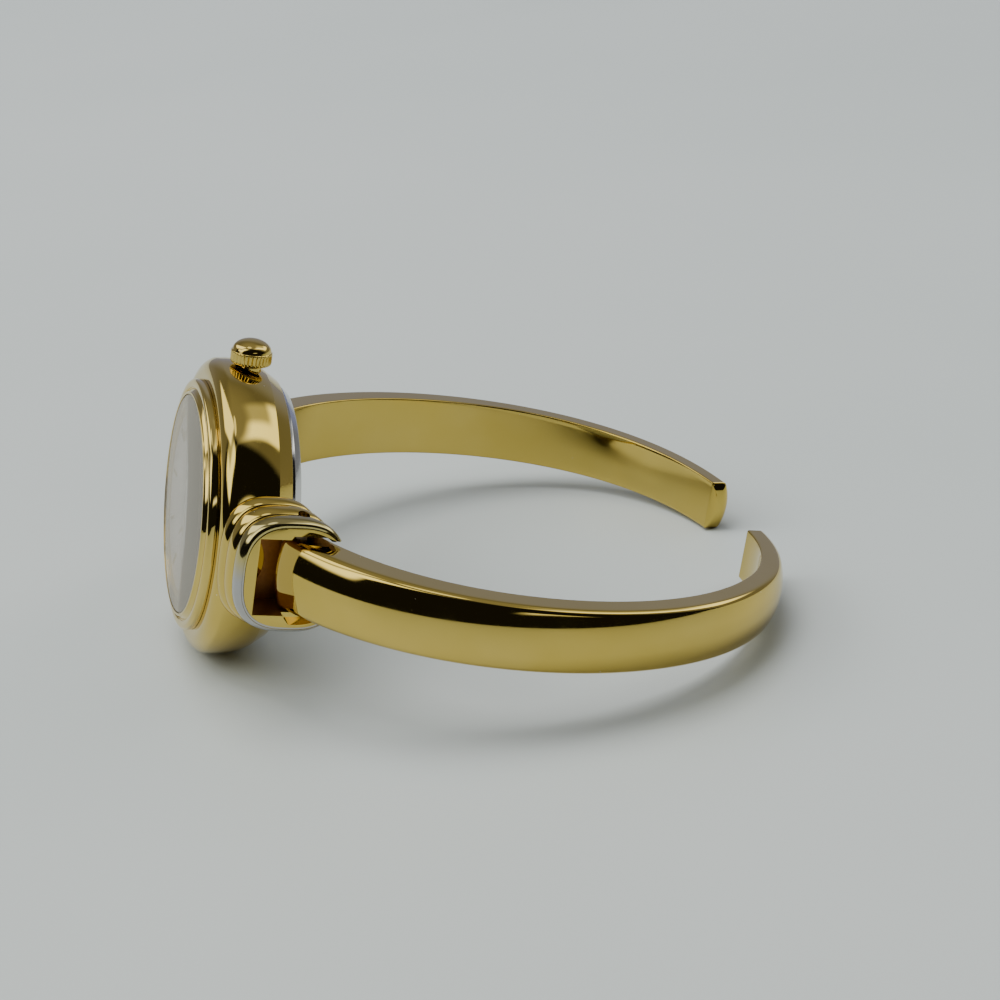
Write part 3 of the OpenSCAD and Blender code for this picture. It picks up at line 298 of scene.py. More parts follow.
def grained_metal(name, tone, other, roughness, grain_scale=300.0, stretch=(1, 30, 30)):
    """Ground or blasted metal, its grain drawn out by the stretch."""
    material, tree, shader = new_finish(name, Metallic=1.0)
    toned(tree, shader, tone, other)
    grain = noise(tree, drawn_out(tree, on_piece(tree), Scale=stretch), grain_scale, 4.0)
    glossed(tree, shader, grain, roughness - 0.08, roughness + 0.1)
    given_relief(tree, shader, grain, 0.3, 0.01)
    return material


def moulded(name, tone, other, roughness):
    """Moulded plastic, rubber or resin with a faint surface pebble."""
    material, tree, shader = new_finish(name)
    toned(tree, shader, tone, other, Scale=200.0)
    pebble = noise(tree, on_piece(tree), 4000.0, 3.0)
    glossed(tree, shader, pebble, roughness - 0.05, roughness + 0.07)
    given_relief(tree, shader, pebble, 0.3, 0.01)
    return material


# Finishes
GOLD_TONE = (0.64, 0.475, 0.12)
GOLD_OTHER = (0.60, 0.44, 0.095)
# Painted reflection of the gold ribs on the silver rib: its tone and the heights it fades over
RIB_REFLECTED_GOLD = (0.50, 0.42, 0.17)
RIB_REFLECTION_FROM = 12.6
RIB_REFLECTION_TO = 14.6
BLASTED = (20, 20, 20)
case_gold = polished_metal("case_gold_plate", GOLD_TONE, GOLD_OTHER, 0.045, 0.9, 0.6, 0.8)
arm_gold = polished_metal("arm_gold_plate", GOLD_TONE, GOLD_OTHER, 0.05, 0.5, 0.5, 0.6)
bezel_gold = polished_metal("bezel_gold_plate", (0.70, 0.53, 0.16), GOLD_TONE, 0.04, 0.4, 0.4)
crown_gold = polished_metal("crown_gold_plate", (0.66, 0.49, 0.13), GOLD_OTHER, 0.08, 0.5, 0.6)
rib_silver = polished_metal("rib_silver_plate", (0.44, 0.43, 0.42), (0.38, 0.37, 0.36), 0.08)
# The silver rib turns gold towards its top: painted reflection of its gold neighbours
painted_gold_reflection(rib_silver, RIB_REFLECTED_GOLD, RIB_REFLECTION_FROM, RIB_REFLECTION_TO)
back_steel = polished_metal("case_back_steel", (0.62, 0.61, 0.60), (0.56, 0.56, 0.55), 0.10,
                            0.9, 0.7, 0.3)
# Socket floor and walls: blasted grain, with a dark brown tone that is painted shade in the
# recess
socket_shade_gold = grained_metal("socket_cast_gold_painted_shade", (0.26, 0.11, 0.03), (0.20, 0.08, 0.02), 0.45,
                            5000 / 30, BLASTED)
pin_steel = grained_metal("hinge_pin_steel", (0.34, 0.26, 0.18), (0.22, 0.16, 0.10), 0.4)
spring_steel = grained_metal("leaf_spring_steel", (0.36, 0.38, 0.42), (0.42, 0.42, 0.40), 0.25)
work_steel = grained_metal("keyless_work_steel", (0.56, 0.57, 0.58), (0.50, 0.51, 0.53), 0.22)
wheel_brass = grained_metal("wheel_brass", (0.70, 0.50, 0.18), (0.62, 0.43, 0.15), 0.25)
plate_brass = grained_metal("plate_brass_blasted", (0.60, 0.44, 0.20), (0.55, 0.40, 0.18),
                            0.38, 200.0, BLASTED)
bridge_nickel = grained_metal("bridge_nickel", (0.58, 0.56, 0.52), (0.52, 0.51, 0.48), 0.3)
screw_blue = grained_metal("screw_blued_steel", (0.05, 0.09, 0.24), (0.08, 0.10, 0.30), 0.2)
magnet_dark = grained_metal("rotor_magnet", (0.06, 0.06, 0.07), (0.09, 0.08, 0.08), 0.4)
stator_iron = grained_metal("stator_soft_iron", (0.30, 0.31, 0.33), (0.24, 0.25, 0.27), 0.35)
battery_steel = grained_metal("battery_can_steel", (0.60, 0.60, 0.61), (0.54, 0.55, 0.56), 0.25)
gasket_nylon = moulded("crystal_gasket_nylon", (0.70, 0.70, 0.67), (0.62, 0.62, 0.58), 0.4)
gasket_rubber = moulded("gasket_rubber", (0.012, 0.012, 0.012), (0.025, 0.024, 0.022), 0.6)
ring_plastic = moulded("movement_ring_plastic", (0.76, 0.76, 0.73), (0.70, 0.70, 0.66), 0.45)
board_green = moulded("circuit_board_mask", (0.02, 0.09, 0.035), (0.03, 0.12, 0.05), 0.3)
chip_resin = moulded("chip_resin", (0.008, 0.008, 0.009), (0.016, 0.016, 0.016), 0.5)


def glowing_socket_side():
    """The side wall of a socket: gold, with a painted pale glow that only glossy rays see, so
    the polished root of the arm mirrors it pale.
    """
    material, tree, shader = new_finish("socket_side_gold_painted_glow", Metallic=1.0)
    toned(tree, shader, GOLD_TONE, GOLD_OTHER)
    glossed(tree, shader, noise(tree, on_piece(tree), 3000.0, 3.0), 0.35, 0.5)
    # Painted glow: a pale emission shown only to glossy rays
    pale = wired(tree, "ShaderNodeEmission", Color=(0.58, 0.60, 0.58, 1), Strength=1.0)
    eye = wired(tree, "ShaderNodeLightPath")
    both = wired(tree, "ShaderNodeMixShader", _0=eye.outputs["Is Glossy Ray"],
                 _1=shader.outputs[0], _2=pale.outputs[0])
    shown_as(tree, both.outputs[0])
    return material


def wound_copper():
    """Enamelled wire laid side by side round the coil, with painted shade in the grooves between
    turns.
    """
    material, tree, shader = new_finish("coil_copper_wire", Metallic=1.0, Roughness=0.3)
    lie = drawn_out(tree, on_piece(tree), Rotation=(0, math.radians(78), 0))
    turns = wired(tree, "ShaderNodeTexWave", {"bands_direction": "X"}, Vector=lie,
                  Scale=4200.0, Distortion=0.3).outputs["Fac"]
    # Copper colour darkened into the groove between each pair of turns: painted shade
    turns_with_painted_shade = ramp(tree, turns, [(0.0, (0.20, 0.06, 0.02)), (1.0, (0.72, 0.27, 0.10))])
    tree.links.new(turns_with_painted_shade, shader.inputs["Base Color"])
    given_relief(tree, shader, turns, 0.6, 0.02)
    return material


def pearl():
    """Mother-of-pearl dial: soft clouds of white, grey and a trace of pink and green."""
    material, tree, shader = new_finish("dial_pearl", Roughness=0.22, Coat_Weight=0.6,
                                        Coat_Roughness=0.08)
    clouds = noise(tree, on_piece(tree), 170.0, 6.0, Roughness=0.55, Distortion=1.4)
    hue = ramp(tree, clouds, [
        (0.30, (0.66, 0.66, 0.65)), (0.45, (0.80, 0.79, 0.77)), (0.55, (0.84, 0.80, 0.80)),
        (0.70, (0.76, 0.81, 0.80))])
    tree.links.new(hue, shader.inputs["Base Color"])
    given_relief(tree, shader, clouds, 0.15, 0.02)
    return material


def watch_glass():
    """Clear mineral glass with a faint film of haze that shows at a low angle."""
    material, tree, shader = new_finish("crystal_glass", Base_Color=(0.96, 0.97, 0.97, 1),
                                        Transmission_Weight=1.0, IOR=1.5)
    film = noise(tree, on_piece(tree), 240.0, 5.0, Distortion=0.8)
    gloss = remapped(tree, film, (0.35, 0.75), (0.01, 0.05))
    tree.links.new(gloss, shader.inputs["Roughness"])
    haze = wired(tree, "ShaderNodeBsdfDiffuse", Color=(0.31, 0.275, 0.205, 1))
    low = wired(tree, "ShaderNodeLayerWeight", Blend=0.5)
    veil = ramp(tree, low.outputs["Facing"], [(0.45, 0.0), (0.80, 0.42), (1.0, 0.6)])
    both = wired(tree, "ShaderNodeMixShader", _0=veil, _1=shader.outputs[0],
                 _2=haze.outputs[0])
    shown_as(tree, both.outputs[0])
    return material


socket_side_painted_glow = glowing_socket_side()
copper = wound_copper()
dial_pearl = pearl()
crystal_glass = watch_glass()


# Mesh helpers
def eased(corners, radius, steps=5, closed=True):
    """The corner list with each corner rounded; a corner may carry its own radius."""
    out = []
    count = len(corners)
    for i, corner in enumerate(corners):
        here = Vector(corner[:2])
        own = corner[2] if len(corner) > 2 else radius
        if own == 0 or (not closed and i in (0, count - 1)):
            out.append(here)
            continue
        back = Vector(corners[i - 1][:2]) - here
        ahead = Vector(corners[(i + 1) % count][:2]) - here
        bend = back.angle(ahead)
        if bend > math.radians(176):
            out.append(here)
            continue
        reach = min(own / math.tan(bend / 2), 0.49 * back.length, 0.49 * ahead.length)
        real = reach * math.tan(bend / 2)
        middle = here + (back.normalized() + ahead.normalized()).normalized() * (
            real / math.sin(bend / 2))
        start = here + back.normalized() * reach - middle
        end = here + ahead.normalized() * reach - middle
        turn = math.atan2(start.x * end.y - start.y * end.x, start.dot(end))
        for k in range(steps + 1):
            part = Matrix.Rotation(turn * k / steps, 2) @ start
            out.append(middle + part)
    return out


def turned_on_lathe(profile, steps=288, closed=True):
    """A bmesh spun from a profile of radius and height about the Z axis."""
    bm = bmesh.new()
    verts = [bm.verts.new((p[0], 0, p[1])) for p in profile]
    pairs = list(zip(verts, verts[1:] + (verts[:1] if closed else [])))
    edges = [bm.edges.new(pair) for pair in pairs]
    bmesh.ops.spin(bm, geom=verts + edges, cent=(0, 0, 0), axis=(0, 0, 1), dvec=(0, 0, 0),
                   angle=math.tau, steps=steps, use_merge=True, use_duplicate=False)
    bmesh.ops.remove_doubles(bm, verts=bm.verts, dist=0.0005)
    return bm


def ring_through(bm, points):
    """A closed ring of edges through the points."""
    verts = [bm.verts.new(p) for p in points]
    return [bm.edges.new(pair) for pair in zip(verts, verts[1:] + verts[:1])]


def skinned(rings, capped=(True, True)):
    """A bmesh skinned through rings of points with as many points each."""
    bm = bmesh.new()
    loops = [ring_through(bm, ring) for ring in rings]
    for near, far in zip(loops, loops[1:]):
        bmesh.ops.bridge_loops(bm, edges=near + far)
    for wanted, loop in zip(capped, (loops[0], loops[-1])):
        if wanted:
            bmesh.ops.contextual_create(bm, geom=loop)
    return bm


def shaped(bm, name, finish, body, nodes, place=STOOD, sharp_over=32, inside=()):
    """The finished piece: put in place, normals outwards, smooth but for its real edges."""
    bmesh.ops.transform(bm, matrix=place, verts=bm.verts)
    bmesh.ops.recalc_face_normals(bm, faces=bm.faces)
    for face in bm.faces:
        face.smooth = True
    for edge in bm.edges:
        if len(edge.link_faces) == 2:
            edge.smooth = edge.calc_face_angle(0) < math.radians(sharp_over)
    mesh = bpy.data.meshes.new(name)
    bm.to_mesh(mesh)
    bm.free()
    piece = bpy.data.objects.new(name, mesh)
    scene.collection.objects.link(piece)
    mesh.materials.append(finish)
    for other in inside:
        mesh.materials.append(other)
    if body:
        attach(piece, body)
        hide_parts(*nodes)
    return piece


def cut_by(bm, cutters, operation="DIFFERENCE"):
    """The bmesh with the cutter bmeshes taken out of it, or kept only inside them."""
    blank = shaped(bm, "blank", None, None, (), Matrix())
    tools = [shaped(c, "cutter", None, None, (), Matrix()) for c in cutters]
    for tool in tools:
        cut = blank.modifiers.new("cut", "BOOLEAN")
        cut.operation = operation
        cut.solver = "EXACT"
        cut.object = tool
    graph = bpy.context.evaluated_depsgraph_get()
    result = bmesh.new()
    result.from_mesh(blank.evaluated_get(graph).to_mesh())
    for spare in [blank] + tools:
        mesh = spare.data
        bpy.data.objects.remove(spare)
        bpy.data.meshes.remove(mesh)
    return result


def block(low, high):
    """A box between two corners, for cutting."""
    bm = bmesh.new()
    size = Vector(high) - Vector(low)
    bmesh.ops.create_cube(bm, size=1)
    bmesh.ops.scale(bm, vec=size, verts=bm.verts)
    bmesh.ops.translate(bm, vec=Vector(low) + size / 2, verts=bm.verts)
    return bm


def drill(start, way, radius, length, segments=64):
    """A round bar from a start point along a direction, for cutting or for a pin."""
    bm = bmesh.new()
    aim = Vector(way).to_track_quat("Z", "Y").to_matrix().to_4x4()
    bmesh.ops.create_cone(bm, cap_ends=True, segments=segments, radius1=radius,
                          radius2=radius, depth=length,
                          matrix=Matrix.Translation(Vector(start)) @ aim
                          @ Matrix.Translation((0, 0, length / 2)))
    return bm


# Watch head: radii and heights in millimetres, heights from the middle of the flank
CASE_R = 12.5
CASE_BORE_R = 10.0
FRONT = 2.6
BACK_EDGE = -2.35
BACK_RIM = (11.6, -3.65)
FLANGE = (8.9, 1.93)
FLANK_FRONT = (13.098, 1.55)
FLANK_RISE = 0.3
SHOULDER = (1.55, 1.05)
FLANK_CHORD = Vector(FLANK_FRONT) - Vector((CASE_R, BACK_EDGE))
FLANK_ARC = (FLANK_CHORD.length_squared / 4 + FLANK_RISE ** 2) / (2 * FLANK_RISE)
FLANK_AT = (Vector(FLANK_FRONT) + Vector((CASE_R, BACK_EDGE))) / 2 - (
    FLANK_ARC - FLANK_RISE) * Vector((FLANK_CHORD.y, -FLANK_CHORD.x)).normalized()
SHOULDER_R = (SHOULDER[0] ** 2 + SHOULDER[1] ** 2) / (2 * SHOULDER[1])
SHOULDER_AT = Vector((FLANK_FRONT[0] - SHOULDER[0], FRONT - SHOULDER_R))


def arc_line(x, y, radius, start, end, steps):
    """Points on an arc about a middle, from one direction to the other."""
    return [(x + radius * math.cos(start + (end - start) * k / steps),
             y + radius * math.sin(start + (end - start) * k / steps))
            for k in range(steps + 1)]


def flank_line(grow=0.0, steps=22):
    """The flank from its back edge to its front crease, then the rounded front shoulder."""
    down = Vector((CASE_R, BACK_EDGE)) - FLANK_AT
    up = Vector(FLANK_FRONT) - FLANK_AT
    over = Vector(FLANK_FRONT) - SHOULDER_AT
    swell = arc_line(*FLANK_AT, FLANK_ARC + grow, math.atan2(down.y, down.x),
                     math.atan2(up.y, up.x), steps)
    return swell + arc_line(*SHOULDER_AT, SHOULDER_R + grow, math.atan2(over.y, over.x),
                            math.pi / 2, steps)[1:]


flank = [(*point, 0) for point in flank_line()]
flank[0] = (*flank[0][:2], 0.1)
case = turned_on_lathe(eased(
    [(CASE_BORE_R, BACK_RIM[1], 0.03), (*BACK_RIM, 0.06)] + flank
    + [(FLANGE[0], FRONT, 0.04), (*FLANGE, 0), (CASE_BORE_R, FLANGE[1], 0)], 0.05, 7))
shaped(case, "case_body_polished", case_gold, "watch_head", ["case_body"])

BEZEL_BORE_R = 9.3
BEZEL_R = 11.14
BEZEL_FROM = 2.62
BEZEL_TOP = 3.43
BEZEL_FOOT = (10.3, 10.7, 2.22)
CRYSTAL_SEAT = (9.97, 2.74)
LIP_IN_R = 9.73
LIP_UNDER = 3.54
LIP_TOP = 3.725
bezel = turned_on_lathe(eased([
    (BEZEL_BORE_R, BEZEL_FROM, 0), (BEZEL_FOOT[0], BEZEL_FROM, 0),
    (BEZEL_FOOT[0], BEZEL_FOOT[2], 0), (BEZEL_FOOT[1], BEZEL_FOOT[2], 0),
    (BEZEL_FOOT[1], BEZEL_FROM, 0), (BEZEL_R, BEZEL_FROM, 0.03), (BEZEL_R, BEZEL_TOP, 0.37),
    (10.40, BEZEL_TOP, 0.37), (10.33, 3.18, 0.05), (10.0, 3.56, 0.05), (9.94, LIP_TOP, 0.1),
    (LIP_IN_R, LIP_TOP, 0.03), (LIP_IN_R, LIP_UNDER, 0), (CRYSTAL_SEAT[0], LIP_UNDER, 0),
    (*CRYSTAL_SEAT, 0), (BEZEL_BORE_R, CRYSTAL_SEAT[1], 0)], 0.05, 6))
shaped(bezel, "bezel_polished", bezel_gold, "watch_head", ["bezel"])

CRYSTAL_R = 9.7
CRYSTAL_FROM = 2.75
CRYSTAL_TOP = 3.7
crystal = turned_on_lathe(eased([
    (0, CRYSTAL_FROM), (CRYSTAL_R, CRYSTAL_FROM, 0.03), (CRYSTAL_R, CRYSTAL_TOP, 0.12),
    (0, CRYSTAL_TOP)], 0.03, 5, False), closed=False)
shaped(crystal, "crystal_clear", crystal_glass, "watch_head", ["crystal"])

BACK_INSIDE = -3.94
BACK_SEAT = -3.67
BACK_NECK = (9.5, 9.95, -3.02)
BACK_R = (10.6, 11.15)
caseback = turned_on_lathe(eased([
    (0, CASE_BACK_FACE), (BACK_R[0], CASE_BACK_FACE, 0.12), (BACK_R[1], -3.97, 0.12),
    (BACK_R[1], BACK_SEAT, 0.04), (BACK_NECK[1], BACK_SEAT, 0), (BACK_NECK[1], BACK_NECK[2], 0),
    (BACK_NECK[0], BACK_NECK[2], 0), (BACK_NECK[0], BACK_INSIDE, 0), (0, BACK_INSIDE)],
    0.04, 5, False), closed=False)
shaped(caseback, "case_back_polished", back_steel, "watch_head", ["caseback"])

# Crown and its collar
CROWN_FROM = 13.395
CROWN_BORE = (1.3, 0.97)
CROWN_R = 1.82
BAND_H = 1.15
DOME = (1.70, 1.04)
FLUTES = 30
FLUTE_DEEP = 0.10


def fluted_ring(height, radius, depth, points_a_flute=10):
    """One ring of the fluted band: rounded ridges with narrow grooves between them."""
    ring = []
    total = FLUTES * points_a_flute
    for i in range(total):
        turn = math.tau * i / total
        groove = abs(math.cos(turn * FLUTES / 2)) ** 6
        r = radius - depth * groove
        ring.append((r * math.cos(turn), r * math.sin(turn), height))
    return ring


# Height, radius and depth of the flutes, from the underside of the crown to its dome
BAND = [(0.0, 1.40, 0), (0.0, 1.60, 0), (0.02, 1.68, 0), (0.07, 1.75, 0), (0.14, 1.79, 0.02),
        (0.22, 1.81, 0.08), (0.30, CROWN_R, FLUTE_DEEP), (0.92, CROWN_R, FLUTE_DEEP),
        (1.00, CROWN_R, 0.07), (1.06, 1.81, 0.02), (1.11, 1.78, 0), (BAND_H, 1.72, 0)]
dome = [(BAND_H + DOME[1] * math.sin(math.radians(a)), DOME[0] * math.cos(math.radians(a)), 0)
        for a in range(6, 87, 5)]
crown = skinned([fluted_ring(CROWN_FROM + h, r, d) for h, r, d in BAND + dome])
crown = cut_by(crown, [drill((0, 0, CROWN_FROM - 1), (0, 0, 1), CROWN_BORE[0],
                             1 + CROWN_BORE[1])])
shaped(crown, "crown_fluted", crown_gold, "crown_knob", ["crown"],
       STOOD @ ALONG_STEM)

TUBE_BORE_R = 0.4
TUBE_R = 0.8
TUBE_FROM = 10.05
TUBE_END = 14.26
COLLAR = (1.0, 12.575, 13.19)
tube = turned_on_lathe(eased([
    (TUBE_BORE_R, TUBE_FROM, 0), (TUBE_R, TUBE_FROM, 0), (TUBE_R, COLLAR[1], 0),
    (COLLAR[0], COLLAR[1], 0), (COLLAR[0], COLLAR[2], 0.04), (0.9, COLLAR[2], 0),
    (0.9, TUBE_END, 0.04), (TUBE_BORE_R, TUBE_END, 0)], 0.05, 4), 96)
shaped(tube, "crown_tube_collar", case_gold, "watch_head", ["crown_tube"],
       STOOD @ ALONG_STEM)

# Lug hoods: half width, half length and how far back, at the case and the change to the end
HOOD_AT_CASE = (5.78, 4.1, 1.41)
HOOD_CHANGE = (-0.8, 0.54, 1.76)
NECK = (4.48, 4.14, 3.17)
HOOD_END = 16.6
RIB_FROM = 12.0
RIB_W = (HOOD_END - RIB_FROM) / 3
RIB_H = 0.27
ROOT_DROP = 0.6
PIN_AT = (15.0, -3.76)
PIN_HALF = 4.65
PIN_R = 0.5
HOOD_PIN_HOLE_R = 0.52
ARM_PIN_HOLE_R = 0.54
SOCKET = 6.84
SOCKET_FLOOR = 12.93
RELIEF_DEEP = 0.85
RELIEF_R = 3.9
RELIEF_OFF = 1.5
RELIEF_RIM = 0.28
SEAT_GAP = 0.01
BACK_CLEAR_R = 11.27
OVAL_POINTS = 200


def oval(half_w, half_l, back, y, power=2.78):
    """A rounded-square outline across the six to twelve line."""
    ring = []
    for i in range(OVAL_POINTS):
        turn = math.tau * i / OVAL_POINTS
        s, c = math.sin(turn), math.cos(turn)
        swell = (abs(s) ** power + abs(c) ** power) ** (-1 / power)
        ring.append((half_w * s * swell, y, half_l * c * swell - back))
    return ring


def hood_ring(y, inset):
    """The hood's outline at a distance out from the case, drawn in by the inset."""
    out = (y - RIB_FROM) / (HOOD_END - RIB_FROM)
    half_w, half_l, back = (at + change * out for at, change in zip(HOOD_AT_CASE, HOOD_CHANGE))
    return oval(half_w - inset, half_l - inset, back, y)


def rib_rings(which, start, end, outer_drop=RIB_H, inner_drop=RIB_H, steps=16):
    """The rings of one half-round rib, from start to end of its width."""
    rings = []
    for k in range(steps + 1):
        u = math.sin(math.radians(90) * (start + (end - start) * k / steps))
        drop = outer_drop if u > 0 else inner_drop
        rings.append(hood_ring(RIB_FROM + RIB_W * (which + 0.5 + 0.5 * u),
                               drop * (1 - math.sqrt(max(0.0, 1 - u * u)))))
    return rings


def neck_ring(y, grow=0.0):
    """The plain neck that carries the silver rib."""
    return oval(NECK[0] + grow, NECK[1] + grow, NECK[2], y)


def across(half, radius):
    """A round bar along the hinge's line, as long on either side."""
    return drill((-half, *PIN_AT), (1, 0, 0), radius, 2 * half)


def socket_cutters():
    """What is taken out of a hood and its rib: the arm's socket and the pin hole."""
    return [block((-SOCKET / 2, SOCKET_FLOOR, -20), (SOCKET / 2, 18, 0)),
            across(9, HOOD_PIN_HOLE_R)]


def end_reliefs():
    """The two shallow round reliefs that open the hood's end face beside the arm."""
    floor_y = HOOD_END - RELIEF_DEEP
    rim = [neck_ring(floor_y, -RELIEF_RIM), neck_ring(HOOD_END + 1, -RELIEF_RIM)]
    return [cut_by(drill((side * RELIEF_OFF, floor_y, -6), (0, 1, 0), RELIEF_R, 1.5, 200),
                   [skinned(rim)], "INTERSECT") for side in (1, -1)]


def mark_socket(bm):
    """Give the floor and walls of the socket the piece's second finish, dark with painted shade,
    its side the third, with a painted glow.
    """
    bm.normal_update()
    for face in bm.faces:
        at, way = face.calc_center_median(), face.normal
        off = (abs(abs(at.x) - SOCKET / 2) / max(0.1, abs(way.x)),
               abs(at.y - SOCKET_FLOOR) / max(0.1, abs(way.y)),
               abs(at.z) / max(0.1, abs(way.z)))
        within = (abs(at.x) < SOCKET / 2 + 0.01 and at.y > SOCKET_FLOOR - 0.03
                  and at.z < 0.01)
        if within and min(off) < 0.02:
            face.material_index = 2 if off[2] == min(off) else 1


def ribbed_hood():
    """A hood with its two gold ribs and its neck, seated on the case and cut for the arm."""
    hood = skinned([hood_ring(10.9, ROOT_DROP), hood_ring(11.95, ROOT_DROP)]
                   + rib_rings(0, -1, 1, RIB_H, ROOT_DROP) + rib_rings(1, -0.9, 1)
                   + [neck_ring(15.09), neck_ring(HOOD_END - 0.04),
                      neck_ring(HOOD_END - 0.012, -0.012), neck_ring(HOOD_END, -0.04)])
    seat = turned_on_lathe([(0, -9), (BACK_CLEAR_R, -9), (BACK_CLEAR_R, BACK_RIM[1]),
                            (BACK_RIM[0] + SEAT_GAP, BACK_RIM[1])]
                           + flank_line(SEAT_GAP)
                           + [(SHOULDER_AT.x, 6), (0, 6)], 288, False)
    hood = cut_by(hood, [seat] + socket_cutters() + end_reliefs())
    mark_socket(hood)
    return hood


def silver_rib():
    """The third rib, a ring of its own round the hood's neck."""
    rib = skinned([hood_ring(15.1, RIB_H - 0.05)] + rib_rings(2, -0.9, 0.76, 0.5)
                  + [hood_ring(HOOD_END - 0.1, 0.36)])
    bore = skinned([neck_ring(14, 0.02), neck_ring(18, 0.02)])
    return cut_by(rib, [bore] + socket_cutters())


def hinge_pin():
    """The pin with its turned edges."""
    pin = across(PIN_HALF, PIN_R)
    rim = [e for e in pin.edges if len(e.link_faces) == 2
           and e.calc_face_angle(0) > math.radians(60)]
    bmesh.ops.bevel(pin, geom=rim, offset=0.08, offset_type="OFFSET", affect="EDGES",
                    segments=3, profile=0.5, material=-1)
    return pin


SIDES = (("six", STOOD @ SIX_SIDE), ("twelve", STOOD))
for side, place in SIDES:
    # The socket gets painted shade on its floor and walls, and a painted glow on its side
    shaped(ribbed_hood(), "lug_hood_%s_ribbed" % side, case_gold, "watch_head",
           ["lug_hood_" + side], place, 32, (socket_shade_gold, socket_side_painted_glow))
    shaped(silver_rib(), "silver_rib_%s" % side, rib_silver, "watch_head",
           ["accent_ring_" + side], place)
    shaped(hinge_pin(), "hinge_pin_%s_turned" % side, pin_steel, "watch_head",
           ["hinge_pin_" + side], place)

# Arms of the cuff: the angle of each tip and how far it is tucked in
ARMS = {"six": (17.0, 1.2), "twelve": (15.8, 0.0)}
ROOT_ANGLE = 146.494
BANGLE_BACK = 26.6638
BANGLE_R = 24.9
BANGLE_WAVES = ((1, 1.02), (2, 0.95), (4, 0.25))
TUCK_FROM = 46
TUCK_OVER = 30
TIP = (4.75, 2.15)
ROOT = (6.42, 3.66)
ROOT_R = ROOT[1] / 2
ROOT_POWER = 3.2
ARM_LOW = 0.16
ARM_CROWN = 0.36
ARM_RINGS = 150
ROOT_RINGS = 14
CORNER_SHARE = 0.24
INNER_EDGE_R = 0.16
FACE_IN = 0.02
CAP_L = 0.6
CAP_SEAT = 0.005
CAP_POWER = 1.6
CAP_RINGS = 12


def bangle_at(angle, tuck):
    """The inner line of an arm at an angle round the cuff, as distance back and sideways."""
    a = math.radians(angle)
    r = BANGLE_R - tuck * max(0.0, (TUCK_FROM - angle) / TUCK_OVER) ** 2
    r -= sum(wave * math.cos(times_round * a) for times_round, wave in BANGLE_WAVES)
    return Vector((BANGLE_BACK + r * math.cos(a), r * math.sin(a)))


def bangle_along(angle, tuck):
    """The direction of an arm away from its tip."""
    return (bangle_at(angle + 0.05, tuck) - bangle_at(angle - 0.05, tuck)).normalized()


def arm_section(share):
    """The D-shaped section of an arm: outward and height, from the tip at 0 to the root at 1."""
    height = TIP[0] + (ROOT[0] - TIP[0]) * share
    thick = TIP[1] + (ROOT[1] - TIP[1]) * share - FACE_IN
    corner = CORNER_SHARE * thick
    half = height / 2
    flat = half - corner
    face_r = (flat ** 2 + ARM_CROWN ** 2) / (2 * ARM_CROWN)
    face_mid = thick - face_r
    corner_x = face_mid + math.sqrt((face_r - corner) ** 2 - flat ** 2)
    meet = math.atan2(flat, corner_x - face_mid)
    edge = INNER_EDGE_R
    upper = [(0.0, flat * k / 4) for k in range(5)]
    upper += [(edge - edge * math.cos(math.radians(a)),
               half - edge + edge * math.sin(math.radians(a))) for a in (0, 20, 40, 60, 80, 90)]
    upper += [(edge + (corner_x - edge) * k / 5, half) for k in (1, 2, 3, 4)]
    upper += arc_line(corner_x, flat, corner, math.pi / 2, meet, 12)
    upper += arc_line(face_mid, 0, face_r, meet, 0, 8)[1:]
    lower = [(x, -z) for x, z in upper[-2:0:-1]]
    return upper + lower


def drawn_in(section, middle, thin, low):
    """The section drawn in towards its middle, in thickness and in height."""
    return [(middle + (x - middle) * thin, z * low) for x, z in section]


def on_bangle(angle, tuck, section, ahead=0.0):
    """The section's points in place on the cuff, moved on along it by the distance."""
    along_arm = bangle_along(angle, tuck)
    out = Vector((along_arm.y, -along_arm.x))
    ring = []
    for x, z in section:
        at = bangle_at(angle, tuck) + out * x + along_arm * ahead
        ring.append((z - ARM_LOW, at.y, -at.x))
    return ring


def left_over(way, power):
    """How wide a rounded end still is, the given share of the way to its tip."""
    return (1 - way ** power) ** (1 / power)


def arm_of(side):
    """An arm from its tip to its rounded root, cut flat towards the case and drilled."""
    tip_angle, tuck = ARMS[side]
    rings = []
    for k in range(ARM_RINGS + 1):
        share = k / ARM_RINGS
        rings.append(on_bangle(tip_angle + (ROOT_ANGLE - tip_angle) * share, tuck,
                               arm_section(share)))
    for k in range(1, ROOT_RINGS + 1):
        turn = math.radians(86) * k / ROOT_RINGS
        low = left_over(math.sin(turn), ROOT_POWER)
        rings.append(on_bangle(ROOT_ANGLE, 0, drawn_in(
            arm_section(1), ROOT_R, math.cos(turn), low), ROOT_R * math.sin(turn)))
    free = block((-3.5, 10, PIN_AT[1] - ROOT_R),
                 (3.5, PIN_AT[0] - ROOT_R + 0.08, PIN_AT[1] + ROOT_R))
    return cut_by(skinned(rings), [free, across(9, ARM_PIN_HOLE_R)])


def cap_of(side):
    """The domed cap on the tip of an arm."""
    tip_angle, tuck = ARMS[side]
    rings = []
    for k in range(CAP_RINGS + 1):
        way = math.sin(math.radians(88) * k / CAP_RINGS)
        draw = left_over(way, CAP_POWER)
        rings.append(on_bangle(tip_angle, tuck, drawn_in(arm_section(0), TIP[1] / 2, draw, draw),
                               -CAP_SEAT - (CAP_L - CAP_SEAT) * way))
    return skinned(rings)


for side, place in SIDES:
    shaped(arm_of(side), "arm_%s_polished" % side, arm_gold, side + "_arm", ["arm_" + side],
           place)
    shaped(cap_of(side), "arm_cap_%s_polished" % side, arm_gold, side + "_arm",
           ["arm_cap_" + side], place)

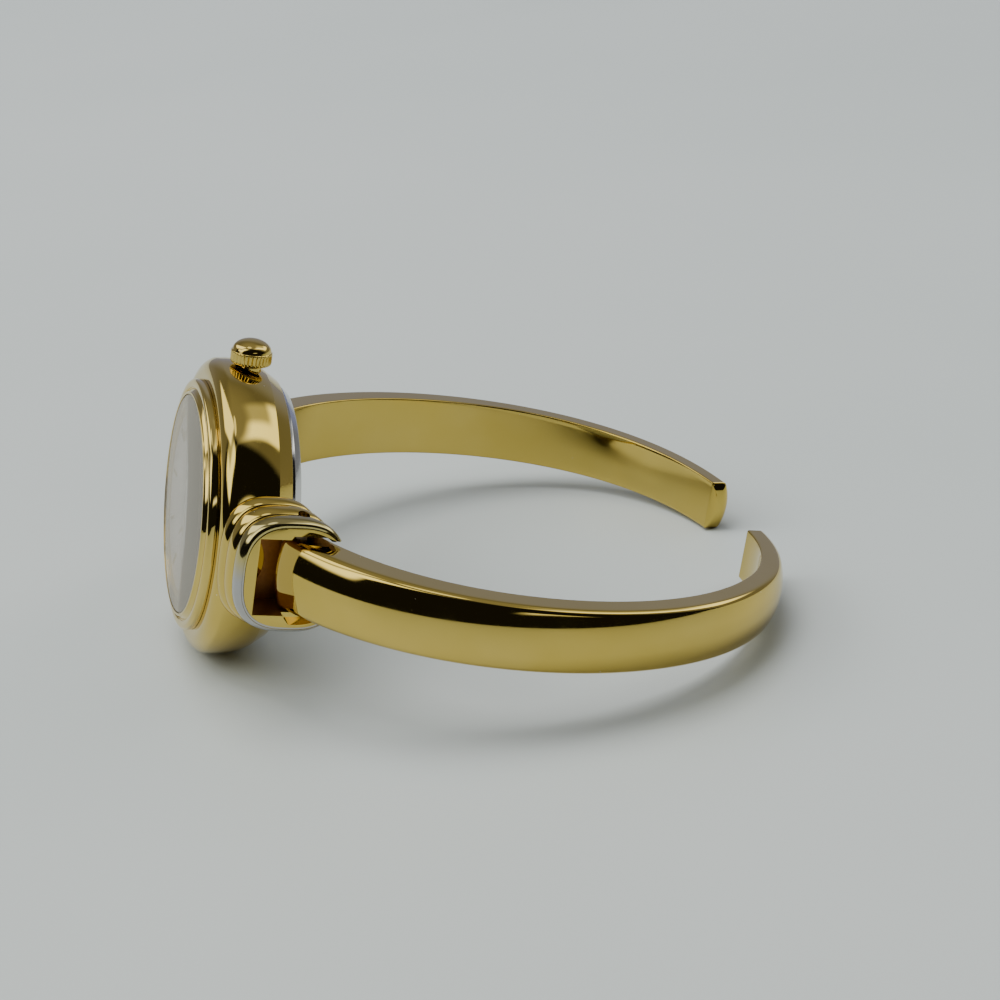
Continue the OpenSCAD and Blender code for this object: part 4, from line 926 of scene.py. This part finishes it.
# Finishes of the works
WORKS = {
    "crystal_gasket": gasket_nylon, "caseback_gasket": gasket_rubber,
    "hinge_spring_six": spring_steel, "hinge_spring_twelve": spring_steel,
    "winding_stem": work_steel, "crown_gasket": gasket_rubber, "sliding_pinion": work_steel,
    "setting_lever": work_steel, "yoke": work_steel, "setting_wheel": wheel_brass,
    "movement_ring": ring_plastic, "main_plate": plate_brass, "train_bridge": bridge_nickel,
    "movement_screws": screw_blue, "dial": dial_pearl, "hour_markers": bezel_gold,
    "hour_hand": bezel_gold, "minute_hand": bezel_gold, "cannon_pinion": work_steel,
    "hour_wheel": wheel_brass, "minute_wheel": wheel_brass, "centre_wheel": wheel_brass,
    "intermediate_wheel": wheel_brass, "rotor": magnet_dark, "stator": stator_iron,
    "coil": copper, "coil_core": stator_iron, "circuit_board": board_green,
    "circuit_chip": chip_resin, "quartz_can": battery_steel, "battery": battery_steel,
    "battery_clamp": work_steel}
for node, finish in WORKS.items():
    piece = frame["nodes"][node]
    piece.data.materials.clear()
    piece.data.materials.append(finish)

# Table
TABLE_HALF = 1.5
TABLE_GAP = 0.00002
floor_bm = bmesh.new()
bmesh.ops.create_grid(floor_bm, x_segments=1, y_segments=1, size=TABLE_HALF)
floor_mesh = bpy.data.meshes.new("table_top")
floor_bm.to_mesh(floor_mesh)
floor_bm.free()
floor = bpy.data.objects.new("table_top", floor_mesh)
floor.location.z = cad_box[0][2] - TABLE_GAP
scene.collection.objects.link(floor)
table, table_tree, table_shader = new_finish("table_pale", Roughness=0.42,
                                             Specular_IOR_Level=0.35)
mottle = noise(table_tree, on_piece(table_tree), 9.0, 3.0)
pale = ramp(table_tree, mottle, [(0.3, (0.505, 0.55, 0.53)), (0.7, (0.54, 0.58, 0.56))])
table_tree.links.new(pale, table_shader.inputs["Base Color"])
floor_mesh.materials.append(table)

# The room that the polished gold mirrors
world = bpy.data.worlds.new("room")
world.use_nodes = True
scene.world = world
room = world.node_tree
room.nodes.clear()
way = wired(room, "ShaderNodeTexCoord").outputs["Generated"]
axes = wired(room, "ShaderNodeSeparateXYZ", Vector=way)
height = axes.outputs["Z"]


def along(direction):
    """How far the view into the room runs along a direction, from -1 to 1."""
    return wired(room, "ShaderNodeVectorMath", {"operation": "DOT_PRODUCT"}, _0=way,
                 _1=direction).outputs["Value"]


def soft_step(value, low, high):
    """A smooth step from 0 at the low value to 1 at the high one, or back down."""
    return wired(room, "ShaderNodeMapRange", {"interpolation_type": "SMOOTHSTEP"}, _0=value,
                 _1=low, _2=high, _3=0.0, _4=1.0).outputs[0]


def times(first, *others):
    """The product of masks."""
    for other in others:
        first = maths(room, "MULTIPLY", first, other)
    return first


def laid_over(under, colour, mask):
    """A colour laid over the room where the mask is 1."""
    return mixed(room, mask, under, (*colour, 1))


DARK = (0.012, 0.012, 0.013)
FAR_WALL = (0.31, 0.335, 0.50)
BLIND = (0.75, 0.76, 0.74)
SUN = (2.4, 2.4, 2.3)
LEFT_PANE = (2.2, 2.2, 2.15)
LAMP = (1.6, 1.6, 1.55)
STRIP = (2.0, 2.0, 1.9)
# Dim walls under a paler ceiling, the far one lit and cool
seen = ramp(room, height, [(0.0, 0.26), (0.25, 0.22), (0.7, 0.20), (0.95, 0.34)])
seen = laid_over(seen, FAR_WALL, soft_step(along((0.35, 0.91, 0.22)), 0.80, 0.94))
# The near side, where the onlooker stands, is dark, and narrower higher up
towards = maths(room, "ADD", along((-0.342, -0.940, 0)),
                maths(room, "MULTIPLY_ADD", height, -0.5, 0.2))
seen = laid_over(seen, DARK, soft_step(towards, -0.08, 0.06))
# The window to the right, brightest at its left side and low down
right = along((0.1796, -0.9186, -0.3522))
pane = times(soft_step(right, -0.52, -0.40), soft_step(right, 0.08, -0.03),
             soft_step(height, 0.30, 0.42), soft_step(height, 0.94, 0.84))
seen = laid_over(seen, BLIND, pane)
seen = laid_over(seen, SUN, times(pane, soft_step(right, -0.28, -0.14)))
seen = laid_over(seen, SUN, times(pane, soft_step(height, 0.64, 0.50)))
# The window behind, to the left
left = along((0.633, 0.52, 0.574))
pane = times(soft_step(left, -0.03, 0.03), soft_step(left, 0.42, 0.36),
             soft_step(axes.outputs["Y"], -0.10, 0.0), soft_step(height, 0.40, 0.48))
seen = laid_over(seen, LEFT_PANE, pane)
# A lamp overhead and a low bright strip beyond the near edge of the table
seen = laid_over(seen, LAMP, soft_step(along((-0.015, -0.086, 0.996)), 0.985, 0.992))
strip = times(soft_step(height, 0.29, 0.36), soft_step(height, 0.62, 0.52),
              soft_step(along((0.26, -0.966, 0)), 0.90, 0.94),
              soft_step(axes.outputs["X"], -0.12, -0.02))
seen = laid_over(seen, STRIP, strip)
# The camera itself sees a plain pale backdrop beyond the table
glow = wired(room, "ShaderNodeBackground", Color=seen, Strength=1.0)
plain = wired(room, "ShaderNodeBackground", Color=(0.5, 0.52, 0.51, 1), Strength=1.0)
eye = wired(room, "ShaderNodeLightPath")
either = wired(room, "ShaderNodeMixShader", _0=eye.outputs["Is Camera Ray"],
               _1=glow.outputs[0], _2=plain.outputs[0])
wired(room, "ShaderNodeOutputWorld", Surface=either.outputs[0])


def soft_light(name, place, size, watts):
    """A large soft light, placed in metres and turned to the watch."""
    data = bpy.data.lights.new(name, "AREA")
    data.shape = "RECTANGLE"
    data.size, data.size_y = size
    data.energy = watts
    light = bpy.data.objects.new(name, data)
    light.location = place
    light.visible_glossy = False
    light.rotation_euler = (-Vector(place)).to_track_quat("-Z", "Y").to_euler()
    scene.collection.objects.link(light)


soft_light("ceiling_light", (-0.15, 0.25, 0.9), (0.7, 0.5), 7.0)
soft_light("window_light", (-0.9, 0.3, 0.6), (0.5, 0.6), 4.0)
